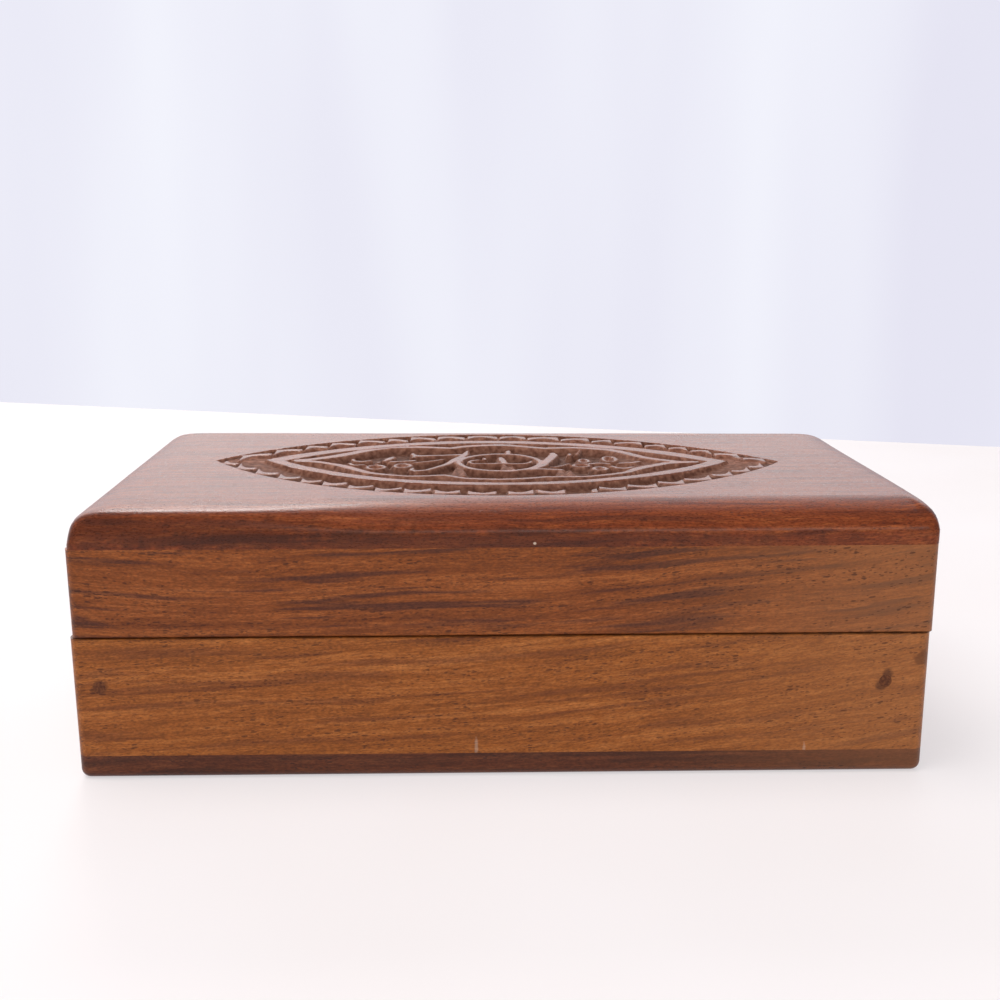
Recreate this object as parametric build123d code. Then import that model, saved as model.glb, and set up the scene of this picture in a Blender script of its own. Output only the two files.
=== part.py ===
from build123d import *
import math
import os

# Carved wooden trinket box with a hinged lid. Sizes are in millimetres.
# +X runs to the right along the front, +Y towards the back and +Z up.
# The origin is under the middle of the closed box, on what it stands on.

# Overall sizes
box_length = 203.0
box_depth = 102.0
lid_step = 0.5            # the lid sits this far to the right of the base

# Boards
bottom_board = 6.0
base_wall_height = 29.5
lid_wall_height = 21.5
lid_board = 9.8
end_wall = 12.0           # left and right boards
long_wall = 11.0          # front and back boards
seam_gap = 0.2            # hairline between the two rims

# Rounded edges
lid_roll = 8.0            # quarter round along the lid's top edges
right_roll = 4.5          # the same along the right end, which is rounded less
corner_round = 2.5        # upright corners
foot_round = 2.2          # lower edge of the bottom board
arris = 0.4               # taken off the rims along the seam, and left under the roll

# Back groove and hinges
groove_depth = 3.0        # the hinge axis lies this far inside the back face
groove_angle = 50.0       # each bevel, from the plane of the seam
bevel_slack = 2.0         # degrees left between the bevels when the lid is open
hinge_length = 25.0
hinge_inset = 34.0        # middle of a hinge from the end of the box
knuckle_count = 5
knuckle_radius = 1.6
knuckle_gap = 0.15
pin_radius = 0.8
pin_clearance = 0.05
pin_head = 0.35           # riveted end that stands out of the last knuckle
leaf_thickness = 0.8
leaf_margin = 1.4         # wood left between a leaf and the inside of the box
leaf_notch = 0.2          # from a leaf's edge to the other leaf's knuckles
mortise_clearance = 0.1
barrel_clearance = 0.25

# Screws in the hinge leaves
screw_spacing = 15.0
screw_radius = 0.75
screw_head_radius = 1.5
screw_length = 7.0
screw_clearance = 0.05
screw_slot_width = 0.35
screw_slot_depth = 0.3

# Nails through the long boards into the end boards
nail_radius = 0.6
nail_head_radius = 1.1
nail_head = 0.5
nail_length = 26.0
nail_sink = 1.6           # the head is driven this far under the face
nail_height = 23.5
nail_off_left = 0.4       # inwards from the middle of the end board
nail_off_right = 4.4
plug_radius = 1.5

# Velvet covered cards
lining_thickness = 1.2
lining_clearance = 0.4

# Carving, in plan about its own middle
carving_offset_y = 3.0    # its middle is this far behind the lid's
almond_end_margin = 25.5  # from the almond's tips to the ends of the lid
almond_side_margin = 10.5 # half the depth of the lid less half the almond's width
border_at_tip = 13.0      # scallops and moat, from the almond's line to the outer band
border_at_side = 10.3
band_at_tip = 5.5         # outer raised band
band_at_side = 3.6
groove_at_tip = 2.0       # thin groove, down to the lobed band's inner edge
groove_at_side = 3.6
moat_depth = 2.8
groove_cut = 1.6
field_depth = 4.0
scallop_pitch = 8.0
scallop_radius = 3.6
scallop_bite = 0.5        # how far a scallop runs into the wood outside
scoop_radius = 5.5        # ball that hollows each scallop
scoop_inward = 3.5        # from the scallop's middle to the ball's
scoop_depth = 2.2
lobe_cusp_x = 13.5        # lobed band: its cusps and the bows between them
lobe_cusp_back = 5.0      # cusps and side bows, inside the middle bow
lobe_cusp_front = 4.25
side_bow_x = 31.0
side_bow_back = 4.8
side_bow_front = 6.8
lobe_band = 2.2
motif_offset_y = -1.0     # middle of the ring, from the middle of the carving
ring_length = 11.25       # half sizes of the ring
ring_width = 12.3
ring_band = 1.9
stroke = 1.8
petal_count = 5
petal_radius = 2.1
petal_hole = 0.9
petal_reach = 4.7
flower_x = 30.0
flower_y = -2.5

# Heights and places that follow from the sizes above
seam_z = bottom_board + base_wall_height
lid_board_z = seam_z + lid_wall_height
top_z = lid_board_z + lid_board
base_x = -lid_step / 2
lid_x = lid_step / 2
front_y = -box_depth / 2
back_y = box_depth / 2
axis_y = back_y - groove_depth
lid_opens = 2 * groove_angle - bevel_slack
leaf_reach = long_wall - groove_depth - leaf_margin
base_rim_z = seam_z - seam_gap / 2
lid_rim_z = seam_z + seam_gap / 2
hinge_places = {
    "left": -box_length / 2 + hinge_inset,
    "right": box_length / 2 - hinge_inset,
}

# Half lengths and half widths of the almond shapes and the lobed band
almond_length = box_length / 2 - almond_end_margin
almond_width = box_depth / 2 - almond_side_margin
band_length = almond_length - border_at_tip
band_width = almond_width - border_at_side
groove_length = band_length - band_at_tip
groove_width = band_width - band_at_side
lobe_tip = groove_length - groove_at_tip
lobe_bow = groove_width - groove_at_side


def block(x0, x1, y0, y1, z0, z1):
    """Box between two corners."""
    middle = Pos((x0 + x1) / 2, (y0 + y1) / 2, (z0 + z1) / 2)
    return middle * Box(x1 - x0, y1 - y0, z1 - z0)


def along_x(x0, x1, y, z, radius):
    """Round bar along X."""
    middle = Pos((x0 + x1) / 2, y, z)
    return middle * Rot(0, 90, 0) * Cylinder(radius, x1 - x0)


def half_outline(middle_x):
    """Upright prism with the rounded corners that both halves of the box share."""
    plan = RectangleRounded(box_length, box_depth, corner_round)
    return Pos(middle_x, 0, 0) * extrude(plan, top_z)


def walls(middle_x, z0, z1):
    """Two long boards and, between them, two end boards, as blocks by name."""
    left = middle_x - box_length / 2
    right = middle_x + box_length / 2
    inner_front = front_y + long_wall
    inner_back = back_y - long_wall
    return {
        "front": block(left, right, front_y, inner_front, z0, z1) & half_outline(middle_x),
        "back": block(left, right, inner_back, back_y, z0, z1) & half_outline(middle_x),
        "left": block(left, left + end_wall, inner_front, inner_back, z0, z1),
        "right": block(right - end_wall, right, inner_front, inner_back, z0, z1),
    }


def back_bevel(side):
    """Wedge cut off a back board along the seam: side is -1 on the base, 1 on the lid."""
    rim_z = seam_z + side * seam_gap / 2
    past_y = back_y + 1
    drop = (past_y - axis_y) * math.tan(math.radians(groove_angle))
    outline = Polyline(
        (axis_y, rim_z),
        (past_y, rim_z + side * drop),
        (past_y, rim_z - side),
        (axis_y, rim_z - side),
        close=True,
    )
    return extrude(Plane.YZ * make_face(outline), box_length, both=True)


def front_arris(middle_x, side):
    """Thin wedge that takes the sharp arris off a front board's rim."""
    rim_z = seam_z + side * seam_gap / 2
    outline = Polyline(
        (front_y - 1, rim_z - side),
        (front_y + arris, rim_z - side),
        (front_y + arris, rim_z),
        (front_y, rim_z + side * arris),
        (front_y - 1, rim_z + side * arris),
        close=True,
    )
    return Pos(middle_x, 0, 0) * extrude(Plane.YZ * make_face(outline), box_length, both=True)


def hinge_mortise(hinge_x, side):
    """Space for one leaf and half of the barrel, in the base (-1) or in the lid (1)."""
    rim_z = seam_z + side * seam_gap / 2
    floor_z = rim_z + side * leaf_thickness
    half = hinge_length / 2
    pocket = block(
        hinge_x - half - mortise_clearance,
        hinge_x + half + mortise_clearance,
        axis_y - leaf_reach - mortise_clearance,
        axis_y,
        min(rim_z - side, floor_z),
        max(rim_z - side, floor_z),
    )
    end = half + pin_head + barrel_clearance
    barrel = along_x(hinge_x - end, hinge_x + end, axis_y, seam_z, knuckle_radius + barrel_clearance)
    return pocket + barrel


def screw_places(hinge_x):
    """Middle of each screw in a leaf."""
    plate_edge = knuckle_radius + leaf_notch
    y = axis_y - (leaf_reach + plate_edge) / 2
    return [(hinge_x - screw_spacing / 2, y), (hinge_x + screw_spacing / 2, y)]


def screw(x, y, side, clearance=0.0):
    """Countersunk screw, driven down into the base (-1) or up into the lid (1).

    With a clearance it is the hole for that screw."""
    rim_z = seam_z + side * seam_gap / 2
    head = screw_head_radius + clearance
    shank = screw_radius + clearance
    cone_height = screw_head_radius - screw_radius
    length = screw_length + clearance
    cone = Cone(shank, head, cone_height, align=(Align.CENTER, Align.CENTER, Align.MAX))
    body = Cylinder(shank, length, align=(Align.CENTER, Align.CENTER, Align.MAX))
    whole = cone + body
    if clearance == 0:
        whole -= Box(
            2 * head + 1,
            screw_slot_width,
            screw_slot_depth,
            align=(Align.CENTER, Align.CENTER, Align.MAX),
        )
    if side > 0:
        whole = Rot(180, 0, 0) * whole
    return Pos(x, y, rim_z) * whole


def nail_places():
    """Middle of each nail: its x, the face it is driven into and its direction along Y."""
    left = base_x - box_length / 2 + end_wall / 2 + nail_off_left
    right = base_x + box_length / 2 - end_wall / 2 - nail_off_right
    return [(left, front_y, 1), (right, front_y, 1), (left, back_y, -1), (right, back_y, -1)]


def along_y(x, y, direction, z, radius, length):
    """Round bar that starts at y and runs inwards."""
    return Pos(x, y + direction * length / 2, z) * Rot(90, 0, 0) * Cylinder(radius, length)


def nail(x, face_y, direction):
    head_y = face_y + direction * nail_sink
    head = along_y(x, head_y, direction, nail_height, nail_head_radius, nail_head)
    return head + along_y(x, head_y, direction, nail_height, nail_radius, nail_length)


def nail_plug(x, face_y, direction):
    return along_y(x, face_y, direction, nail_height, plug_radius, nail_sink)


def nail_hole(x, face_y, direction):
    """Stepped hole that the nail and its plug fill."""
    head_y = face_y + direction * nail_sink
    mouth = along_y(x, face_y, direction, nail_height, plug_radius, nail_sink)
    head = along_y(x, head_y, direction, nail_height, nail_head_radius, nail_head)
    return mouth + head + along_y(x, head_y, direction, nail_height, nail_radius, nail_length)


def almond(half_length, half_width):
    """Pointed oval between two arcs."""
    radius = (half_length**2 + half_width**2) / (2 * half_width)
    arc = Circle(radius)
    return Pos(0, half_width - radius) * arc & Pos(0, radius - half_width) * arc


def lobed(grow):
    """Shape inside the lobed band's inner edge, or `grow` outside that edge."""
    tip = lobe_tip + grow * 1.5
    middle = lobe_bow + grow
    arcs = []
    for side, cusp_in, bow_in in ((1, lobe_cusp_back, side_bow_back), (-1, lobe_cusp_front, side_bow_front)):
        cusp_y = side * (middle - cusp_in)
        bow_y = side * (middle - bow_in)
        arcs.append(ThreePointArc((-tip, 0), (-side_bow_x, bow_y), (-lobe_cusp_x, cusp_y)))
        arcs.append(ThreePointArc((-lobe_cusp_x, cusp_y), (0, side * middle), (lobe_cusp_x, cusp_y)))
        arcs.append(ThreePointArc((lobe_cusp_x, cusp_y), (side_bow_x, bow_y), (tip, 0)))
    return make_face(Curve() + arcs)


def scallop_middles():
    """Middle of each scallop, with the direction from there to the almond's outer line."""
    radius = (almond_length**2 + almond_width**2) / (2 * almond_width)
    drop = radius - almond_width
    inset = radius - scallop_radius + scallop_bite
    half_angle = math.acos(drop / inset)
    scallop_count = round(2 * half_angle * inset / scallop_pitch)
    step = 2 * half_angle / scallop_count
    for side in (1, -1):
        for index in range(scallop_count):
            angle = -half_angle + (index + 0.5) * step
            outward = (math.sin(angle), side * math.cos(angle))
            yield inset * outward[0], inset * outward[1] - side * drop, outward


def stroke_along(*points):
    """Raised stroke of even width through three points."""
    return trace(ThreePointArc(*points), stroke)


def flower(x, y):
    """Ring petals round a middle."""
    shape = Pos(x, y) * Circle(petal_radius * 0.75)
    for index in range(petal_count):
        angle = 2 * math.pi * (index + 0.5) / petal_count
        px = x + petal_reach * math.cos(angle)
        py = y + petal_reach * math.sin(angle)
        shape += Pos(px, py) * (Circle(petal_radius) - Circle(petal_hole))
    return shape


def motifs():
    """Ring with its palmette, the stems on both sides and the two flowers."""
    ring = Ellipse(ring_length, ring_width)
    ring -= Ellipse(ring_length - ring_band, ring_width - ring_band)
    palmette = Pos(0, 3.0) * Ellipse(1.7, 4.0)
    palmette += make_face(Polyline((-2.6, -10.5), (2.6, -10.5), (0, 0), close=True))
    half = stroke_along((0, -1.5), (4.6, -3.0), (6.9, 0.8))
    half += Pos(6.0, 1.4) * Circle(1.4)
    half += stroke_along((10.2, 3.5), (14.5, -1.0), (19.0, -9.5))
    half += Pos(20.5, -9.2) * Circle(1.8)
    half += stroke_along((9.8, 5.5), (15.0, 8.0), (23.0, 10.2))
    half += Pos(23.5, 11.4) * Circle(1.6)
    half += stroke_along((11.0, 2.0), (17.0, 1.2), (25.0, -1.2))
    half += stroke_along((8.0, 8.5), (8.6, 11.5), (9.4, 14.6))
    half += stroke_along((8.5, -8.0), (11.0, -11.5), (12.4, -15.0))
    middle = ring + palmette + half + mirror(half, Plane.YZ)
    shape = Pos(0, motif_offset_y) * middle
    return shape + flower(-flower_x, flower_y) + flower(flower_x, flower_y)


def cut_down(region, depth):
    """Solid that sinks a region of the carving this deep into the lid."""
    return Pos(lid_x, carving_offset_y, top_z - depth) * extrude(region, depth + 1)


def rolled_section(width, first_roll, last_roll):
    """Section of the lid board, with its two upper corners rolled over."""
    section = Rectangle(width, lid_board)
    for end, roll in ((0, first_roll), (-1, last_roll)):
        corner = section.vertices().group_by(Axis.Y)[-1].sort_by(Axis.X)[end]
        section = fillet(corner, min(roll, lid_board - arris))
    return Pos(0, lid_board_z + lid_board / 2) * section


def carved_lid_board():
    long_way = extrude(Plane.YZ * rolled_section(box_depth, lid_roll, lid_roll), box_length, both=True)
    short_way = extrude(Plane.XZ * rolled_section(box_length, lid_roll, right_roll), box_depth, both=True)
    board = (long_way & Pos(lid_x, 0, 0) * short_way) & half_outline(lid_x)

    border = almond(almond_length, almond_width) - almond(band_length, band_width)
    scoops = []
    for x, y, outward in scallop_middles():
        border -= Pos(x, y) * Circle(scallop_radius)
        ball_x = x - scoop_inward * outward[0]
        ball_y = y - scoop_inward * outward[1]
        place = Pos(lid_x + ball_x, carving_offset_y + ball_y, top_z + scoop_radius - scoop_depth)
        scoops.append(place * Sphere(scoop_radius))
    keep_out = cut_down(almond(band_length, band_width), lid_board)
    board -= cut_down(border, moat_depth)
    scooped = Part() + scoops
    board -= scooped - keep_out

    groove = almond(groove_length, groove_width) - lobed(lobe_band)
    board -= cut_down(groove, groove_cut)
    board -= cut_down(lobed(0) - motifs(), field_depth)
    return board


def hinge_leaf(hinge_x, side):
    """Leaf with its knuckles: the base's (-1) has the first, third and last one."""
    half = hinge_length / 2
    rim_z = seam_z + side * seam_gap / 2
    back_z = rim_z + side * leaf_thickness
    low = min(rim_z, back_z)
    high = max(rim_z, back_z)
    front_edge = axis_y - leaf_reach
    back_edge = axis_y - knuckle_radius - leaf_notch
    leaf = block(hinge_x - half, hinge_x + half, front_edge, back_edge, low, high)
    knuckle = hinge_length / knuckle_count
    for index in range(0 if side < 0 else 1, knuckle_count, 2):
        first = hinge_x - half + index * knuckle
        start = first + (knuckle_gap / 2 if index > 0 else 0)
        end = first + knuckle - (knuckle_gap / 2 if index < knuckle_count - 1 else 0)
        leaf += block(start, end, back_edge, axis_y, low, high)
        leaf += along_x(start, end, axis_y, seam_z, knuckle_radius)
    leaf -= along_x(hinge_x - half - 1, hinge_x + half + 1, axis_y, seam_z, pin_radius + pin_clearance)
    for x, y in screw_places(hinge_x):
        leaf -= screw(x, y, side, screw_clearance)
    return leaf


def hinge_pin(hinge_x):
    end = hinge_length / 2 + pin_head
    return along_x(hinge_x - end, hinge_x + end, axis_y, seam_z, pin_radius)


def lining(middle_x, z0):
    """Card inside the four walls."""
    half_x = box_length / 2 - end_wall - lining_clearance
    half_y = box_depth / 2 - long_wall - lining_clearance
    return block(middle_x - half_x, middle_x + half_x, -half_y, half_y, z0, z0 + lining_thickness)


def bottom():
    plan = RectangleRounded(box_length, box_depth, corner_round)
    board = Pos(base_x, 0, 0) * extrude(plan, bottom_board)
    return fillet(board.edges().group_by(Axis.Z)[0], foot_round)


def build():
    """Every solid by the name of its node."""
    nodes = {"base_bottom": bottom(), "lid_top": carved_lid_board()}
    base = walls(base_x, bottom_board, base_rim_z)
    lid = walls(lid_x, lid_rim_z, lid_board_z)

    base["back"] -= back_bevel(-1)
    lid["back"] -= back_bevel(1)
    base["front"] -= front_arris(base_x, -1)
    lid["front"] -= front_arris(lid_x, 1)
    base_screws = []
    lid_screws = []
    for side_name, hinge_x in hinge_places.items():
        base["back"] -= hinge_mortise(hinge_x, -1)
        lid["back"] -= hinge_mortise(hinge_x, 1)
        for x, y in screw_places(hinge_x):
            base["back"] -= screw(x, y, -1, screw_clearance)
            lid["back"] -= screw(x, y, 1, screw_clearance)
            base_screws.append(screw(x, y, -1))
            lid_screws.append(screw(x, y, 1))
        nodes[f"hinge_{side_name}_base_leaf"] = hinge_leaf(hinge_x, -1)
        nodes[f"hinge_{side_name}_lid_leaf"] = hinge_leaf(hinge_x, 1)
        nodes[f"hinge_{side_name}_pin"] = hinge_pin(hinge_x)
    nodes["base_hinge_screws"] = Compound(children=base_screws)
    nodes["lid_hinge_screws"] = Compound(children=lid_screws)

    places = nail_places()
    for x, face_y, direction in places:
        hole = nail_hole(x, face_y, direction)
        for name in base:
            base[name] -= hole
    nodes["base_nails"] = Compound(children=[nail(*place) for place in places])
    nodes["nail_plugs"] = Compound(children=[nail_plug(*place) for place in places])

    for name, board in base.items():
        nodes[f"base_{name}"] = board
    for name, board in lid.items():
        nodes[f"lid_{name}"] = board
    nodes["base_lining"] = lining(base_x, bottom_board)
    nodes["lid_lining"] = lining(lid_x, lid_board_z - lining_thickness)
    return nodes


os.makedirs("parts", exist_ok=True)
for node, shape in build().items():
    export_step(shape, f"parts/{node}.step")
    print(f"{node}: {len(shape.solids())} solids, {shape.volume:.1f} mm3")
print(f"lid opens {lid_opens:g} degrees about y {axis_y:g}, z {seam_z:g}")
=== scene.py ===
# %% [markdown]
# # A carved keepsake box
# The real thing is a small rosewood box, about 20 cm long, made by hand: butt-jointed boards, a thick
# lid board with rolled edges and an almond-shaped relief cut into it with gouges. This script dresses
# the measured model of that box. The measured solids stay where they are; the lid board gets a new
# mesh with the carver's marks, and every surface gets a finish built from nodes.

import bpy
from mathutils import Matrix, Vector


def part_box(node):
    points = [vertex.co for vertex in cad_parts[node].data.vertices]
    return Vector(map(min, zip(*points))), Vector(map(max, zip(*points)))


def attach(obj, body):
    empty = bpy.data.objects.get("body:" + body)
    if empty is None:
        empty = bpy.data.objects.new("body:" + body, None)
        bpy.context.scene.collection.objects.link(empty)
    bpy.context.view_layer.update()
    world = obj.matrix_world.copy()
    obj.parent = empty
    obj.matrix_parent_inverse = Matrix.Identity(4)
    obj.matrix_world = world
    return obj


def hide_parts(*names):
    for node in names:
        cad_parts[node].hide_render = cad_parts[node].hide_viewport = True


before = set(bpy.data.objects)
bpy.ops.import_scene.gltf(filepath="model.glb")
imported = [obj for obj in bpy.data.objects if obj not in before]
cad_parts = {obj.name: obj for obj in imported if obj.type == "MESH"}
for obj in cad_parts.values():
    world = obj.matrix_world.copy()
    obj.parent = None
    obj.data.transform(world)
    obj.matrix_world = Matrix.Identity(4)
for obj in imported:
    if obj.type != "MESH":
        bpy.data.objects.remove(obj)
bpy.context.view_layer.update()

# %% Units and small helpers
import math

import bmesh
import bpy
import numpy as np
from mathutils import Matrix, Vector

MM = 0.001
PHOTO_SIDE = 1000.0


def srgb(text):
    """A hex colour as linear red, green, blue and alpha."""
    parts = [int(text[i:i + 2], 16) / 255 for i in (1, 3, 5)]
    linear = [c / 12.92 if c <= 0.04045 else ((c + 0.055) / 1.055) ** 2.4 for c in parts]
    return (*linear, 1.0)


def add(tree, kind, inputs=None, stops=None, **settings):
    """Adds a node. An input that is a socket is linked, any other value is set."""
    node = tree.nodes.new("ShaderNode" + kind)
    for name, value in settings.items():
        setattr(node, name, value)
    for name, value in (inputs or {}).items():
        if isinstance(value, bpy.types.NodeSocket):
            tree.links.new(value, node.inputs[name])
        else:
            node.inputs[name].default_value = value
    if stops:
        ramp = node.color_ramp.elements
        while len(ramp) < len(stops):
            ramp.new(0.5)
        for element, (position, colour) in zip(ramp, stops):
            element.position = position
            element.color = srgb(colour) if isinstance(colour, str) else (colour, colour, colour, 1)
    return node


def new_material(name):
    """An empty node material and its tree."""
    material = bpy.data.materials.new(name)
    material.use_nodes = True
    material.node_tree.nodes.clear()
    return material, material.node_tree


def dress(obj, material):
    """Gives a piece one finish."""
    obj.data.materials.clear()
    obj.data.materials.append(material)


print("photograph side", PHOTO_SIDE)

# %% [markdown]
# ## Camera
# The camera comes first, because every comparison with the photograph depends on it. Its lens, place
# and turn were found by fitting the box's edges, so they are plain numbers here. The photograph was
# taken from just above the lid, almost square on to the front.

# %% Place the camera
LENS_PX = 1254.9            # focal length, in pixels of the photograph
SENSOR_MM = 36
CAMERA_AT = Vector((-0.00402, -0.33006, 0.13440))
PITCH = 0.2326              # radians below level
YAW = 0.0123                # radians to the right
ROLL = 0.0037

ahead = Vector((math.sin(YAW) * math.cos(PITCH), math.cos(YAW) * math.cos(PITCH), -math.sin(PITCH)))
sideways = Vector((math.cos(YAW), -math.sin(YAW), 0))
down = ahead.cross(sideways)
across = sideways * math.cos(ROLL) + down * math.sin(ROLL)
below = -sideways * math.sin(ROLL) + down * math.cos(ROLL)

camera_data = bpy.data.cameras.new("camera")
camera_data.sensor_width = SENSOR_MM
camera_data.lens = LENS_PX / PHOTO_SIDE * SENSOR_MM
camera_data.clip_start = 0.01
camera = bpy.data.objects.new("camera", camera_data)
turn = Matrix((across, -below, -ahead)).transposed()
camera.matrix_world = Matrix.Translation(CAMERA_AT) @ turn.to_4x4()
bpy.context.collection.objects.link(camera)
bpy.context.scene.camera = camera
print("lens", round(camera_data.lens, 2), "mm")


def seen_at(x, y, height=0.0):
    """Where the line through a pixel of the photograph meets a level plane."""
    ray = ahead + across * ((x - PHOTO_SIDE / 2) / LENS_PX) + below * ((y - PHOTO_SIDE / 2) / LENS_PX)
    return CAMERA_AT + ray * ((height - CAMERA_AT.z) / ray.z)


# %% [markdown]
# ## Table and backdrop
# The box stands on a white table in front of a pale cloth backdrop. Both are kept plain, apart from
# the backdrop's folds, which are painted as faint light and shade. The table ends where its back edge
# runs in the photograph. The backdrop shows its own pale colour to the camera and in reflections, and
# gives no extra light.

# %% Table and backdrop
TABLE_EDGE_LEFT_PX = 402.0
TABLE_EDGE_RIGHT_PX = 447.0
TABLE_GLOW = 0.55           # part of the table's white that shadows leave alone
TABLE_HALF = 3.0            # metres, at the front
TABLE_FRONT_Y = -2.0
RUNS_ON = 3                 # the back edge goes on by this many widths of the picture each way
BACKDROP_Y = 2.2
BACKDROP_HALF = 6.0
BACKDROP_FOOT = -2.0
BACKDROP_TOP = 4.0
# painted light and shade: the backdrop's folds are painted as faint paler and darker stripes
BACKDROP_FOLDS = (1.6, 1.0, 0.25)    # a fold is narrow across and long down


def stage_plane(name, corners):
    """A flat four-cornered piece of the set."""
    mesh = bpy.data.meshes.new(name)
    bm = bmesh.new()
    bm.faces.new([bm.verts.new(c) for c in corners])
    bm.normal_update()
    bm.to_mesh(mesh)
    bm.free()
    obj = bpy.data.objects.new(name, mesh)
    bpy.context.collection.objects.link(obj)
    return obj


def seen_directly(tree):
    """1 for rays from the camera, mirrored or refracted, 0 for the light that reaches the box."""
    path = add(tree, "LightPath").outputs
    seen = add(tree, "Math", {0: path["Is Camera Ray"], 1: path["Is Glossy Ray"]}, operation="ADD").outputs[0]
    seen = add(tree, "Math", {0: seen, 1: path["Is Transmission Ray"]}, operation="ADD", use_clamp=True)
    return seen.outputs[0]


edge_left = seen_at(0, TABLE_EDGE_LEFT_PX)
edge_right = seen_at(PHOTO_SIDE, TABLE_EDGE_RIGHT_PX)
run = (edge_right - edge_left) * RUNS_ON
near_left = (-TABLE_HALF, TABLE_FRONT_Y, 0)
near_right = (TABLE_HALF, TABLE_FRONT_Y, 0)
table = stage_plane("table", [near_left, near_right, edge_right + run, edge_left - run])
corners = [(-1, BACKDROP_FOOT), (1, BACKDROP_FOOT), (1, BACKDROP_TOP), (-1, BACKDROP_TOP)]
backdrop = stage_plane("backdrop", [(side * BACKDROP_HALF, BACKDROP_Y, z) for side, z in corners])

material, tree = new_material("white_laminate")
grain = add(tree, "TexNoise", {"Vector": add(tree, "TexCoord").outputs["Object"], "Scale": 9.0})
tint = add(tree, "ValToRGB", {"Fac": grain.outputs["Fac"]}, stops=[(0.35, "#f2ecec"), (0.65, "#f7f3f5")])
white = add(tree, "BsdfPrincipled", {"Base Color": tint.outputs["Color"], "Roughness": 0.55})
glow = add(tree, "Emission", {"Color": srgb("#fdf9fb"), "Strength": 1.0})
share = add(tree, "Math", {0: seen_directly(tree), 1: TABLE_GLOW}, operation="MULTIPLY").outputs[0]
mix = add(tree, "MixShader", {0: share, 1: white.outputs[0], 2: glow.outputs[0]})
add(tree, "OutputMaterial", {"Surface": mix.outputs[0]})
dress(table, material)

material, tree = new_material("pale_curtain")
place = add(tree, "TexCoord").outputs["Object"]
# painted light and shade of the folds
folds = add(tree, "VectorMath", {0: place, 1: BACKDROP_FOLDS}, operation="MULTIPLY")
shade = add(tree, "TexNoise", {"Vector": folds.outputs["Vector"], "Scale": 1.6, "Detail": 2.0})
colour = add(tree, "ValToRGB", {"Fac": shade.outputs["Fac"]}, stops=[(0.3, "#e6e5f3"), (0.7, "#f3f4fd")])
glow = add(tree, "Emission", {"Color": colour.outputs["Color"], "Strength": 1.0})
cloth = add(tree, "BsdfDiffuse", {"Color": colour.outputs["Color"]})
mix = add(tree, "MixShader", {0: seen_directly(tree), 1: cloth.outputs[0], 2: glow.outputs[0]})
add(tree, "OutputMaterial", {"Surface": mix.outputs[0]})
dress(backdrop, material)
print("table edge", [round(v, 3) for v in edge_left], [round(v, 3) for v in edge_right])

# %% [markdown]
# ## Light
# The photograph has broad daylight from all round, stronger from above and from the left. A pale
# world gives the general light, one large soft lamp hangs overhead and a weak one fills the front. Two
# more stand behind: the wax shows them as the pale sheen of the top and the white line on its edge. The
# overhead lamp is kept out of reflections, so that its outline doesn't show on the rolled edges.

# %% World and lamps
DAYLIGHT = 0.48
world = bpy.data.worlds.new("daylight")
bpy.context.scene.world = world
world.use_nodes = True
world.node_tree.nodes["Background"].inputs["Color"].default_value = srgb("#f8f5f6")
world.node_tree.nodes["Background"].inputs["Strength"].default_value = DAYLIGHT
bpy.context.scene.view_settings.view_transform = "Standard"


def lamp(name, at, towards, size, power, colour, mirrored=True):
    """A soft lamp of this width and height; the wax may or may not mirror it."""
    data = bpy.data.lights.new(name, "AREA")
    data.shape = "RECTANGLE"
    data.size, data.size_y = size
    data.energy = power
    data.color = srgb(colour)[:3]
    obj = bpy.data.objects.new(name, data)
    obj.location = at
    obj.rotation_euler = (Vector(towards) - Vector(at)).to_track_quat("-Z", "Y").to_euler()
    obj.visible_camera = False
    obj.visible_glossy = mirrored
    bpy.context.collection.objects.link(obj)


lamp("overhead", (-0.45, -0.15, 1.15), (0, 0, 0.03), (0.9, 0.9), 10.3, "#fffaf5", mirrored=False)
lamp("front_fill", (0.2, -1.2, 0.62), (0, 0, 0.03), (0.8, 0.2), 2.9, "#fff8f2")
lamp("curtain_glow", (-0.3, 1.9, 0.7), (0, 0, 0.06), (3.6, 1.0), 11.5, "#fff9f6")
lamp("high_window", (-0.5, 1.7, 1.35), (0, 0, 0.06), (0.6, 0.35), 9.5, "#fffaf6")

# %% [markdown]
# ## Rosewood
# The boards are Indian rosewood, planed, sanded and rubbed with wax, so they have a satin gloss. Four
# things show from a step away: growth layers as soft bands along the board, smoky dark streaks, fine
# flecks of fibre, and open pores, which look like short dark dashes on a face and dots on an end. All
# of them are made in the solid, from Object coordinates, so a face and an end of one board agree as
# they do in real wood. Each board has its own shift and tilt, because no two were cut from one place.

# %% Sizes in the wood
SEAM_Z = (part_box("base_front")[1][2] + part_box("lid_front")[0][2]) / 2
SEAM_DARKENED_FROM = (100 * MM, 49.5 * MM, 0)   # the seam's dirt and painted shade stop further in than this
WAX_IOR = 1.45
WAX_LEVEL = 0.3             # open pores and fibre leave the wax film thin
LAYER_WIDTH = 3.6 * MM
PITH = (0, 0.09, -0.05)     # middle of the trunk, in metres across the grain

# length along the grain and width across it
GRAIN_WAVE = (60 * MM, 22 * MM)
LONG_BAND = (36 * MM, 1.2 * MM)
STREAK = (45 * MM, 1.9 * MM)
FLECK = (4 * MM, 0.4 * MM)
FIBRE = (0.9 * MM, 0.3 * MM)
PORE_CLUSTER = (22 * MM, 4 * MM)
WAVE_REACH = (0, 5 * MM, 5 * MM)    # how far apart a wave carries the grain, across it
PORES = ((1.2 * MM, 0.33 * MM, 0.3), (2.2 * MM, 0.56 * MM, 0.6))  # spacing both ways, share left out
print("seam at", round(SEAM_Z / MM, 2), "mm, growth layers every", round(LAYER_WIDTH / MM, 1), "mm")

# %% Patterns that run along the grain
def per(length, width):
    """Scale that gives a pattern this length along the grain and this width across it."""
    return (1 / length, 1 / width, 1 / width)


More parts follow.
